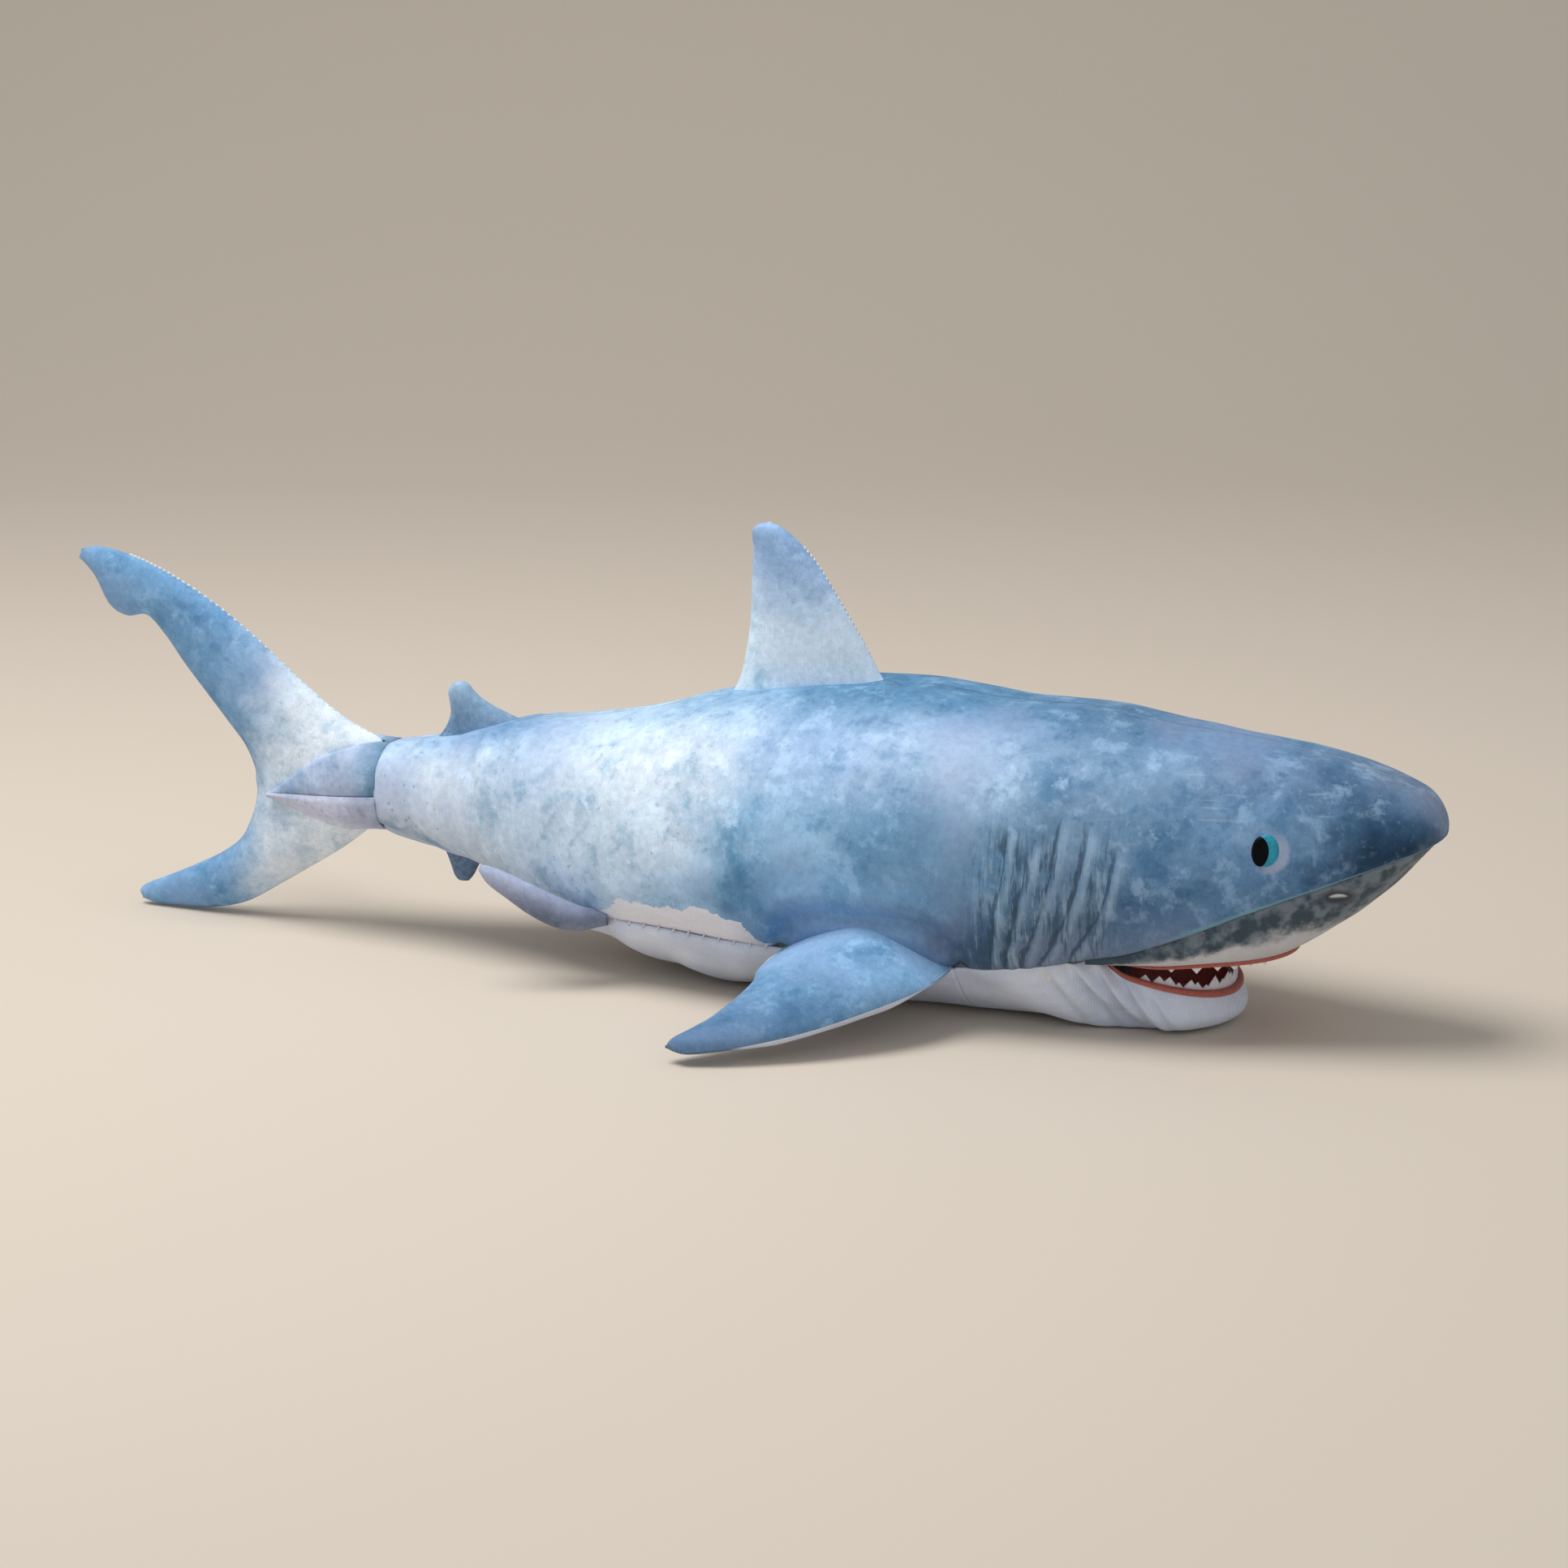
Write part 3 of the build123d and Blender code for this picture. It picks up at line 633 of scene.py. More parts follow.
# Dye colours along the back panels, from tail stock to nose, in four bands from spine to side seam.
DYE_X = (-0.16, 0.32)
DYE_BANDS = [
    (0.10, [(0.00, (0.42, 0.56, 0.74)), (0.12, (0.22, 0.38, 0.60)), (0.24, (0.50, 0.68, 0.86)),
            (0.36, (0.28, 0.47, 0.68)), (0.46, (0.10, 0.26, 0.44)), (0.58, (0.10, 0.26, 0.45)),
            (0.72, (0.10, 0.22, 0.37)), (0.84, (0.11, 0.24, 0.41)), (0.95, (0.14, 0.22, 0.34))]),
    (0.40, [(0.00, (0.48, 0.62, 0.82)), (0.08, (0.72, 0.83, 0.95)), (0.16, (0.52, 0.66, 0.84)),
            (0.30, (0.80, 0.90, 1.00)), (0.46, (0.40, 0.58, 0.84)), (0.60, (0.43, 0.59, 0.81)),
            (0.74, (0.24, 0.40, 0.60)), (0.86, (0.14, 0.25, 0.41)), (0.96, (0.12, 0.21, 0.34))]),
    (0.65, [(0.00, (0.52, 0.62, 0.80)), (0.08, (0.68, 0.80, 0.94)), (0.18, (0.60, 0.74, 0.90)),
            (0.32, (0.71, 0.85, 1.00)), (0.42, (0.34, 0.59, 0.85)), (0.56, (0.16, 0.35, 0.56)),
            (0.68, (0.15, 0.28, 0.44)), (0.86, (0.18, 0.34, 0.56)), (0.96, (0.04, 0.11, 0.21))]),
    (0.90, [(0.00, (0.52, 0.58, 0.70)), (0.10, (0.50, 0.60, 0.76)), (0.25, (0.46, 0.62, 0.82)),
            (0.35, (0.34, 0.54, 0.76)), (0.42, (0.08, 0.24, 0.43)), (0.52, (0.15, 0.34, 0.56)),
            (0.61, (0.035, 0.10, 0.19)), (0.70, (0.08, 0.15, 0.25)), (0.86, (0.10, 0.22, 0.39)),
            (0.96, (0.012, 0.05, 0.11))]),
]


def gill_lines(nodes, colour, place, x, z):
    """Leaning dark slits, broken and uneven, each with a pale painted highlight on the ridge in front of it,
    under upright strokes.
    """
    wobble = nodes.noise(place, 70.0, 3.0)
    rise = nodes.times(nodes.minus(z, GILL_FOOT * MM), 1 / (GILL_RISE * MM))
    bulge = nodes.math("SINE", nodes.times(rise, math.pi))
    stray = nodes.plus(x, nodes.stray(wobble, 0.006))
    width = nodes.between(wobble, 0.35, 0.65, 0.0004, 0.0015)
    for foot, top, bow, low, high in GILLS:
        line = nodes.plus(foot * MM, nodes.times(rise, (top - foot) * MM))
        line = nodes.plus(line, nodes.times(bulge, bow * MM))
        off = nodes.minus(stray, line)
        reach = nodes.window(z, (low + 3) * MM, (high - 3) * MM, 0.004)
        # Painted highlight: the ridge in front of each slit is drawn paler, as if lit.
        ridge_highlight = nodes.times(nodes.window(off, 0.0018, 0.0052, 0.0016), reach)
        colour = nodes.mix(nodes.times(ridge_highlight, 0.3), colour, GILL_PALE_AND_RIDGE_HIGHLIGHT)
        slit = nodes.between(nodes.math("DIVIDE", nodes.math("ABSOLUTE", off), width), 1.1, 0.5)
        colour = nodes.mix(nodes.times(nodes.times(slit, reach), 0.62), colour, GILL_SLIT)
    strokes = nodes.noise(nodes.stretched(place, Scale=(420, 60, 60)), 1.0, 3.0, 0.6)
    area = nodes.times(nodes.window(x, 0.138, 0.196, 0.008), nodes.window(z, 0.028, 0.088, 0.012))
    dark = nodes.times(nodes.between(strokes, 0.47, 0.36, 0, 0.7), area)
    pale = nodes.times(nodes.between(strokes, 0.56, 0.68, 0, 0.5), area)
    return nodes.mix(pale, nodes.mix(dark, colour, (0.04, 0.085, 0.13, 1)), GILL_PALE_AND_RIDGE_HIGHLIGHT)


def back_print(nodes):
    """The printed blue of the back: dye bands, pools, speckles, gills with painted highlights on their
    ridges, eye ring and the ragged white edge.
    """
    cut = nodes.add("ShaderNodeUVMap", uv_map="cut").outputs[0]
    band = nodes.add("ShaderNodeSeparateXYZ", {0: cut}).outputs["Y"]
    place = nodes.place()
    axes = nodes.add("ShaderNodeSeparateXYZ", {0: place})
    x, z = axes.outputs["X"], axes.outputs["Z"]
    wander = nodes.noise(place, 16.0, 4.0, 0.6)
    drift = nodes.noise(place, 38.0, 5.0, 0.65)
    warped = nodes.plus(x, nodes.stray(drift, 0.07))
    share = nodes.between(warped, *DYE_X)
    share.node.interpolation_type = "LINEAR"
    level = nodes.plus(band, nodes.stray(wander, 0.26))
    colour = nodes.ramp(share, DYE_BANDS[0][1])
    for (low, _), (high, stops) in zip(DYE_BANDS, DYE_BANDS[1:]):
        colour = nodes.mix(nodes.between(level, low, high), colour, nodes.ramp(share, stops))
    colour = mottled(nodes, colour)
    # Fine dark speckles, thickest towards the tail.
    cells = nodes.add("ShaderNodeTexVoronoi", {"Vector": place, "Scale": 190.0, "Randomness": 1.0})
    dots = nodes.between(cells.outputs["Distance"], 0.20, 0.10)
    patch = nodes.between(nodes.noise(place, 34.0, 3.0), 0.52, 0.62)
    rear = nodes.between(x, 0.06, -0.10, 0.25, 1.0)
    speckle = nodes.times(nodes.times(dots, patch), rear)
    colour = nodes.mix(nodes.times(speckle, 0.6), colour, (0.16, 0.26, 0.38, 1))
    # Pale scratches over the head.
    drawn_out = nodes.stretched(place, Rotation=(0, -0.35, 0), Scale=(26, 80, 420))
    scratch = nodes.between(nodes.noise(drawn_out, 1.0, 1.0), 0.66, 0.71)
    head = nodes.times(nodes.window(x, 0.19, 0.305, 0.02), nodes.window(z, 0.085, 0.125, 0.01))
    scratch = nodes.times(nodes.times(scratch, head), 0.15)
    colour = nodes.mix(scratch, colour, (0.62, 0.72, 0.83, 1))
    colour = gill_lines(nodes, colour, place, x, z)
    # Pale ring printed round the eye.
    far, off_x, off_z = nodes.oval(axes, (EYE[0] + 1.3, EYE[1] - 0.3), 7.8, 8.8)
    ring = nodes.times(nodes.between(far, 1.18, 0.92), nodes.between(off_x, -0.9, 0.3, 0.1, 1.0))
    ring = nodes.times(ring, nodes.between(off_z, 1.1, 0.2))
    colour = nodes.mix(nodes.times(ring, 0.55), colour, (0.46, 0.50, 0.66, 1))
    # The white of the belly runs up into the print with a ragged edge.
    ragged = nodes.plus(band, nodes.stray(nodes.noise(place, 48.0, 5.0, 0.62), 0.22))
    reach = nodes.window(x, -0.040, 0.045, 0.02)
    edge = nodes.minus(1.08, nodes.times(reach, 0.205))
    white = nodes.times(nodes.math("GREATER_THAN", ragged, edge), reach)
    colour = nodes.mix(white, colour, (0.80, 0.80, 0.88, 1))
    # A pale thread line along the head's seam.
    seam = nodes.times(nodes.between(band, 0.972, 0.99), nodes.between(x, 0.20, 0.24))
    return nodes.mix(nodes.times(seam, 0.6), colour, (0.22, 0.42, 0.52, 1))


def white_print(nodes):
    """White underside with faint lilac-grey pools."""
    place = nodes.place()
    pools = nodes.between(nodes.noise(place, 22.0, 4.0), 0.42, 0.66)
    white = nodes.mix(nodes.times(pools, 0.5), (0.72, 0.79, 0.93, 1), (0.48, 0.55, 0.74, 1))
    along = nodes.add("ShaderNodeSeparateXYZ", {0: place}).outputs["X"]
    rear = nodes.between(along, -0.055, -0.09)
    return nodes.mix(rear, white, (0.46, 0.56, 0.76, 1))


def underside_print(nodes):
    """White underside of a pectoral fin, with the top's blue wrapped round its tip."""
    place = nodes.place()
    across = nodes.math("ABSOLUTE", nodes.add("ShaderNodeSeparateXYZ", {0: place}).outputs["Y"])
    wander = nodes.stray(nodes.noise(place, 60.0, 3.0), 0.012)
    tip = nodes.between(nodes.plus(across, wander), 0.128, 0.137)
    return nodes.mix(tip, white_print(nodes), (0.09, 0.16, 0.26, 1))


def snout_print(nodes):
    """Grey-green mottle beside the seam, fading to off-white at the lip, with a printed nostril and a painted
    highlight on it.
    """
    cut = nodes.add("ShaderNodeUVMap", uv_map="cut").outputs[0]
    band = nodes.add("ShaderNodeSeparateXYZ", {0: cut}).outputs["Y"]
    place = nodes.place()
    axes = nodes.add("ShaderNodeSeparateXYZ", {0: place})
    level = nodes.plus(band, nodes.stray(nodes.noise(place, 75.0, 5.0, 0.68), 0.7))
    grain = nodes.between(nodes.noise(place, 120.0, 3.0), 0.4, 0.6)
    tone = nodes.mix(grain, (0.045, 0.075, 0.10, 1), (0.17, 0.21, 0.25, 1))
    colour = nodes.mix(nodes.between(level, 0.38, 0.68), tone, (0.62, 0.63, 0.68, 1))
    far, _, off_z = nodes.oval(axes, NOSTRIL, 5.2, 2.6)
    colour = nodes.mix(nodes.between(far, 1.7, 0.7), colour, (0.05, 0.055, 0.075, 1))
    # Painted highlight: a pale glint of light on the nostril's upper half.
    glint = nodes.times(nodes.between(far, 0.75, 0.45), nodes.between(off_z, -0.2, 0.3))
    return nodes.mix(glint, colour, (0.62, 0.66, 0.66, 1))


def dye_and_shade_ramp(base, tip, span, axis):
    """Fin fabric whose blue deepens from root to tip, over a span in metres along an axis; on the tail stock
    the same ramp paints shade, darkest beside the stock's front seam.
    """
    def colour_of(nodes):
        place = nodes.place()
        product = nodes.add("ShaderNodeVectorMath", {0: place, 1: axis}, operation="DOT_PRODUCT")
        wander = nodes.stray(nodes.noise(place, 30.0, 4.0), (span[1] - span[0]) * 0.9)
        share = nodes.between(nodes.plus(product.outputs["Value"], wander), *span)
        return mottled(nodes, nodes.mix(share, (*base, 1), (*tip, 1)), 0.8, 1.25)
    return colour_of


def plain_colour(colour, dark=0.8, size=420.0):
    """One colour with a fine light and dark grain."""
    def colour_of(nodes):
        place = nodes.place()
        shade = nodes.between(nodes.noise(place, size, 3.0), 0.35, 0.65)
        return nodes.mix(shade, (*[channel * dark for channel in colour], 1), (*colour, 1))
    return colour_of


GROUPS = {}
MATERIALS = {}


def make_materials(colours):
    """Every fabric, felt and thread of the toy."""
    GROUPS["pile"] = pile_group()
    GROUPS["mottle"] = mottle_group()
    up, back, pectoral_span = (0, 0, 1), (-1, 0, 0), (0.066, 0.135)
    pectoral_blues = ((0.24, 0.45, 0.70), (0.09, 0.21, 0.37))
    dorsal_dye = dye_and_shade_ramp((0.76, 0.90, 1.0), (0.31, 0.48, 0.74), (0.138, 0.195), up)
    tail_dye = dye_and_shade_ramp((0.84, 0.92, 1.0), (0.18, 0.38, 0.64), (0.198, 0.258), (-0.995, 0, 0.1))
    pectoral_right_dye = dye_and_shade_ramp(*pectoral_blues, pectoral_span, (0, -1, 0))
    pectoral_left_dye = dye_and_shade_ramp(*pectoral_blues, pectoral_span, (0, 1, 0))
    pelvic_dye = dye_and_shade_ramp((0.14, 0.17, 0.25), (0.50, 0.55, 0.72), (0.034, 0.058), up)
    nub_dye = dye_and_shade_ramp((0.18, 0.30, 0.46), (0.34, 0.50, 0.68), (0.10, 0.118), up)
    # Painted shade: both tail stock colours darken towards the stock's front seam, where the crease is
    # shaded; the colours themselves are the print.
    stock_dye_and_seam_shade = dye_and_shade_ramp((0.16, 0.30, 0.45), (0.46, 0.56, 0.76), (0.160, 0.178), back)
    stock_low_dye_and_seam_shade = dye_and_shade_ramp((0.42, 0.46, 0.62), (0.62, 0.63, 0.78), (0.160, 0.19), back)
    pupil_black = plain_colour((0.003, 0.003, 0.005), 0.5, 700.0)
    # Key: name, colour, then roughness, bump, sheen, and pile size and specular where they aren't the usual.
    for key, (name, colour_of, *finish) in {
        "back": ("printed_back", back_print, 0.68, 0.22, 0.08),
        "white": ("white_belly", white_print, 0.78, 0.25, 0.25),
        "snout": ("snout_underside", snout_print, 0.78, 0.22, 0.2),
        "dorsal": ("dorsal_print", dorsal_dye, 0.72, 0.22, 0.1),
        "tail_fin": ("tail_fin_print", tail_dye, 0.7, 0.22, 0.1),
        "fin_right": ("pectoral_print_right", pectoral_right_dye, 0.72, 0.22, 0.1),
        "fin_left": ("pectoral_print_left", pectoral_left_dye, 0.72, 0.22, 0.1),
        "fin_under": ("pectoral_underside", underside_print, 0.78, 0.25, 0.2),
        "pelvic": ("pelvic_print", pelvic_dye, 0.75, 0.22, 0.1),
        "nub": ("nub_print", nub_dye, 0.75, 0.22, 0.2),
        "anal": ("anal_fin_print", plain_colour((0.16, 0.26, 0.42), 0.7), 0.75, 0.22, 0.2),
        "stock": ("tail_stock_print_and_seam_shade", stock_dye_and_seam_shade, 0.72, 0.22, 0.2),
        "stock_low": ("tail_stock_pale_print_and_seam_shade", stock_low_dye_and_seam_shade, 0.72, 0.22, 0.2),
        "lining": ("mouth_lining", plain_colour(colours.lining, 0.7, 900.0), 0.85, 0.5, 0.15),
        "lip": ("lip_cord", plain_colour(colours.lip, 0.8, 1200.0), 0.75, 0.5, 0.2),
        "felt": ("tooth_felt", plain_colour(colours.felt, 0.92, 900.0), 0.9, 0.5, 0.3),
        "filling": ("loose_fibre", plain_colour((0.88, 0.88, 0.87), 0.86, 160.0), 0.95, 1.0, 0.5, 0.3),
        "iris": ("iris_satin_stitch", plain_colour(colours.iris, 0.75, 700.0), 0.45, 0.5, 0.1),
        "pupil": ("pupil_satin_stitch", pupil_black, 0.4, 0.3, 0.0, 1.0, 0.07),
        "thread": ("sewing_thread", plain_colour(colours.thread, 0.85, 1500.0), 0.6, 0.4, 0.2),
        "blue_thread": ("seam_thread", plain_colour((0.72, 0.82, 0.90), 0.8, 1500.0), 0.6, 0.4, 0.2),
    }.items():
        MATERIALS[key] = fabric_material(name, colour_of, *finish)


# ---- settings ----
class SharkColours(bpy.types.PropertyGroup):
    """Colours a maker would change."""

    lip: FloatVectorProperty(
        name="Lip cord", description="Piping round both lips", subtype="COLOR", size=3, min=0, max=1,
        default=(0.50, 0.14, 0.105))
    lining: FloatVectorProperty(
        name="Mouth lining", description="Fabric inside the mouth", subtype="COLOR", size=3, min=0, max=1,
        default=(0.42, 0.10, 0.09))
    felt: FloatVectorProperty(
        name="Teeth", description="Felt of the teeth", subtype="COLOR", size=3, min=0, max=1,
        default=(0.86, 0.86, 0.93))
    iris: FloatVectorProperty(
        name="Iris", description="Satin stitch of the iris", subtype="COLOR", size=3, min=0, max=1,
        default=(0.025, 0.36, 0.52))
    thread: FloatVectorProperty(
        name="Thread", description="Hand stitches", subtype="COLOR", size=3, min=0, max=1,
        default=(0.72, 0.73, 0.80))
    floor: FloatVectorProperty(
        name="Floor", description="Studio paper", subtype="COLOR", size=3, min=0, max=1,
        default=(0.66, 0.58, 0.49))


class SharkSizes(bpy.types.PropertyGroup):
    """Sizes a maker would change."""

    fabric: FloatProperty(
        name="Fabric", description="Thickness of the printed fabric", default=1.2 * MM, min=0.5 * MM,
        max=3 * MM, subtype="DISTANCE", unit="LENGTH")
    lip_radius: FloatProperty(
        name="Lip radius", description="Radius of the piping, in millimetres", default=1.5, min=0.5, max=3)
    stitch: FloatProperty(
        name="Stitch length", description="Length of a seam stitch, in millimetres", default=2.2, min=1,
        max=5)
    detail: IntProperty(name="Detail", description="Columns of the back panels", default=210, min=60, max=400)


class StuffedPiece:
    """What every operator here shares."""

    bl_options = {"REGISTER", "UNDO"}

    @property
    def sizes(self):
        return bpy.context.scene.shark_sizes


# ---- body ----
def nose_to_tail(share):
    """Station along the back panel: even steps, closing up round the nose."""
    turn = 0.93
    if share < turn:
        return mix(STOCK_X, 304, share / turn)
    return 304 + (NOSE_X + 0.5 - 304) * math.sin((share - turn) / (1 - turn) * math.pi / 2)


def back_panel(side):
    def place(share, down):
        x = nose_to_tail(share)
        angle = mix(math.pi / 2, seam_angle(x), down)
        return body_point(x, angle, side, back_relief(x, down, side) * clamp((NOSE_X + 0.5 - x) / 14))
    return place


def belly_panel(start, end):
    def place(share, turn):
        x = mix(start, end, share)
        side = -1 if turn < 0.5 else 1
        down = 1 - abs(2 * turn - 1)
        angle = mix(seam_angle(x), -math.pi / 2, down)
        return body_point(x, angle, side, belly_relief(x, down, side))
    return place


def bend_at_crease(piece):
    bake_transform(piece)


class SHARK_OT_back_panels(StuffedPiece, bpy.types.Operator):
    """Right and left printed back panels, from tail stock to nose"""

    bl_idname = "shark.back_panels"
    bl_label = "Back Panels"

    def execute(self, context):
        for side, name in ((-1, "right"), (1, "left")):
            piece = sheet_piece(
                f"back_panel_{name}", self.sizes.detail, 76, [back_panel(side)], body_core, MATERIALS["back"],
                self.sizes.fabric)
            bend_at_crease(piece)
            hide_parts(f"back_cover_{name}", f"rear_cover_{name}")
        return {"FINISHED"}


class SHARK_OT_belly_panel(StuffedPiece, bpy.types.Operator):
    """White belly panel, from tail stock to throat"""

    bl_idname = "shark.belly_panel"
    bl_label = "Belly Panel"

    def execute(self, context):
        piece = sheet_piece(
            "belly_panel", 150, 80, [belly_panel(STOCK_X, THROAT_X)], body_core, MATERIALS["white"],
            self.sizes.fabric)
        bend_at_crease(piece)
        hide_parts("belly_cover", "rear_belly_cover")
        return {"FINISHED"}


def snout_panel(share, down):
    """White and grey panel between the head's seam and the upper lip."""
    turn = 2 * share - 1
    lip = lip_point(UPPER_MOUTH, turn, -1.2)
    lip.z += 0.8
    reach = (1 - abs(turn)) ** 0.9
    x = mix(MOUTH[0], NOSE_X - 1.5, reach)
    seam = seam_point(x, 1 if turn > 0 else -1)
    point = seam.lerp(lip, down)
    bulge = math.sin(down * math.pi) * (3.4 * smooth(abs(turn) * 3) + 4.0 * bell(turn, 0, 0.34))
    outward = Vector((0.3 * (1 - abs(turn)), math.sin(turn * math.pi / 2), -0.5)).normalized()
    return point + outward * (bulge + 0.5 * lumps(point, 18, 2) * math.sin(down * math.pi))


class SHARK_OT_snout_panel(StuffedPiece, bpy.types.Operator):
    """Underside of the snout, down to the upper lip"""

    bl_idname = "shark.snout_panel"
    bl_label = "Snout Panel"

    def execute(self, context):
        piece = sheet_piece(
            "snout_panel", 150, 40, [snout_panel], lambda point: Vector((point.x - 0.02, 0, 0.085)),
            MATERIALS["snout"], self.sizes.fabric)
        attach(piece, "torso")
        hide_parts("snout_cover")
        return {"FINISHED"}


def throat_panel(share, forward):
    """White panel from the throat over the chin to the lower lip."""
    turn = 2 * share - 1
    side = 1 if turn > 0 else -1
    lip = lip_point(LOWER_MOUTH, turn, -1.0, lower=True)
    lip.z -= 0.8
    down = smooth(1 - abs(turn)) * 0.4 + (1 - abs(turn)) * 0.6
    angle = mix(seam_angle(THROAT_X), -math.pi / 2, down)
    start = body_point(THROAT_X, angle, side, belly_relief(THROAT_X, down, side))
    chin = 0.62
    pull = Vector((math.cos(turn * math.pi / 2), math.sin(turn * math.pi / 2), 0))
    radius = 9 + 5 * abs(turn)
    under = Vector((lip.x, lip.y, 0.6)) - pull * radius
    if forward < chin:
        level = forward / chin
        point = start.lerp(under, level)
        point.z = mix(start.z, 0.8, smooth(level * 1.4)) if start.z > 0.8 else 0.8
    else:
        climb = (forward - chin) / (1 - chin) * math.pi / 2
        point = under + pull * (radius * math.sin(climb) + 4.5 * math.sin(2 * climb))
        point.z = mix(0.8, lip.z, 1 - math.cos(climb))
    # The outer columns run along the side seam to the mouth's corner.
    x = mix(THROAT_X, MOUTH[0], forward)
    rim = seam_point(x, side)
    corner = lip_point(LOWER_MOUTH, side, -1.0, lower=True)
    rim = rim.lerp(corner, smooth(forward * 1.5 - 0.5))
    outer = smooth((abs(turn) - 0.62) / 0.38) ** 1.3
    point = point.lerp(rim + (lip - corner) * smooth(forward * 2 - 1), outer)
    # Slanting folds gather behind the mouth's corner.
    folds = 0.0
    for centre, depth in ((163, 2.2), (175, 4.0), (184, 3.6), (192, 3.8), (200, 2.8)):
        lean = centre + 0.55 * (30 - point.z)
        folds += depth * (0.5 * bell(point.x, lean + 4.4, 2.6) - bell(point.x, lean, 2.3))
    folds *= bell(point.z, 19, 13) * smooth((abs(point.y) - 18) / 15)
    lift = 0.7 * lumps(point, 22, 8) + folds + 1.4 * bell(point.x, 174, 5) * smooth((abs(point.y) - 30) / 15)
    point += Vector((0, side, -0.25)).normalized() * lift * smooth(forward * 8) * smooth((1 - forward) * 8)
    point.z = max(point.z, 0.3)
    return point


def bend_at_jaw(piece):
    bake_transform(piece)


class SHARK_OT_throat_panel(StuffedPiece, bpy.types.Operator):
    """Throat and chin, up to the lower lip"""

    bl_idname = "shark.throat_panel"
    bl_label = "Throat Panel"

    def execute(self, context):
        piece = sheet_piece(
            "throat_panel", 150, 90, [throat_panel], lambda point: Vector((min(point.x, 0.225), 0, 0.03)),
            MATERIALS["white"], self.sizes.fabric)
        bend_at_jaw(piece)
        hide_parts("jaw_cover")
        return {"FINISHED"}


# ---- mouth ----
def upper_lining(share, inward):
    """Dark dome of the palate, closed behind the corners."""
    turn = 2 * share - 1
    lip = lip_point(UPPER_MOUTH, turn, 1.0)
    middle = Vector((MOUTH[0] + 8 + 26 * (1 - abs(turn)), 0, MOUTH[1] + 11.5))
    point = lip.lerp(middle, inward)
    point.z = mix(lip.z, middle.z, math.sin(min(inward * 1.5, 1) * math.pi / 2))
    return point + Vector((0, 0, 0.8 * lumps(point, 12, 6) * inward))


def lower_lining(share, inward):
    """Dark floor of the mouth, dished between the lower teeth."""
    turn = 2 * share - 1
    lip = lip_point(LOWER_MOUTH, turn, 1.0, lower=True)
    middle = Vector((MOUTH[0] + 6 + 22 * (1 - abs(turn)), 0, 18.5 - 5 * (1 - abs(turn))))
    point = lip.lerp(middle, inward)
    point.z = mix(lip.z, middle.z, math.sin(min(inward * 2, 1) * math.pi / 2))
    return point + Vector((0, 0, 0.7 * lumps(point, 12, 7) * inward))


def tooth_row(name, size, heights, point_down, material):
    """Felt points of uneven height set round one lip."""
    shift = random.Random(7 if point_down else 11)
    mesh = bmesh.new()
    count = len(heights)
    for number in range(-count + 1, count):
        height = heights[count - 1 - abs(number)]
        turn = number / count * 0.86 + shift.uniform(-0.012, 0.012)
        base = lip_point(size, turn, 2.6, lower=not point_down)
        ahead = (lip_point(size, turn + 0.01, 2.6, lower=not point_down) - base).normalized()
        outward = ahead.cross(Vector((0, 0, 1)))
        rise = Vector((0, 0, -1 if point_down else 1))
        lean = rise + outward * 0.18 + ahead * shift.uniform(-0.08, 0.08)
        wide = height * 0.40 + 0.9
        frame_matrix = Matrix((ahead * wide, outward * 1.15, lean * height)).transposed().to_4x4()
        put = Matrix.Translation(base - rise * 1.2) @ frame_matrix

        def place(level, turn, put=put):
            """A rounded felt point: its width swells a little above its root and closes at the tip."""
            wide = (1 - level ** 1.5) * (1 + 0.25 * math.sin(level * math.pi))
            angle = turn * 2 * math.pi
            return put @ Vector((math.cos(angle) * wide, math.sin(angle) * wide, level))

        add_sheet(mesh, 9, 18, place)
    return finish_mesh(name, mesh, None, material)


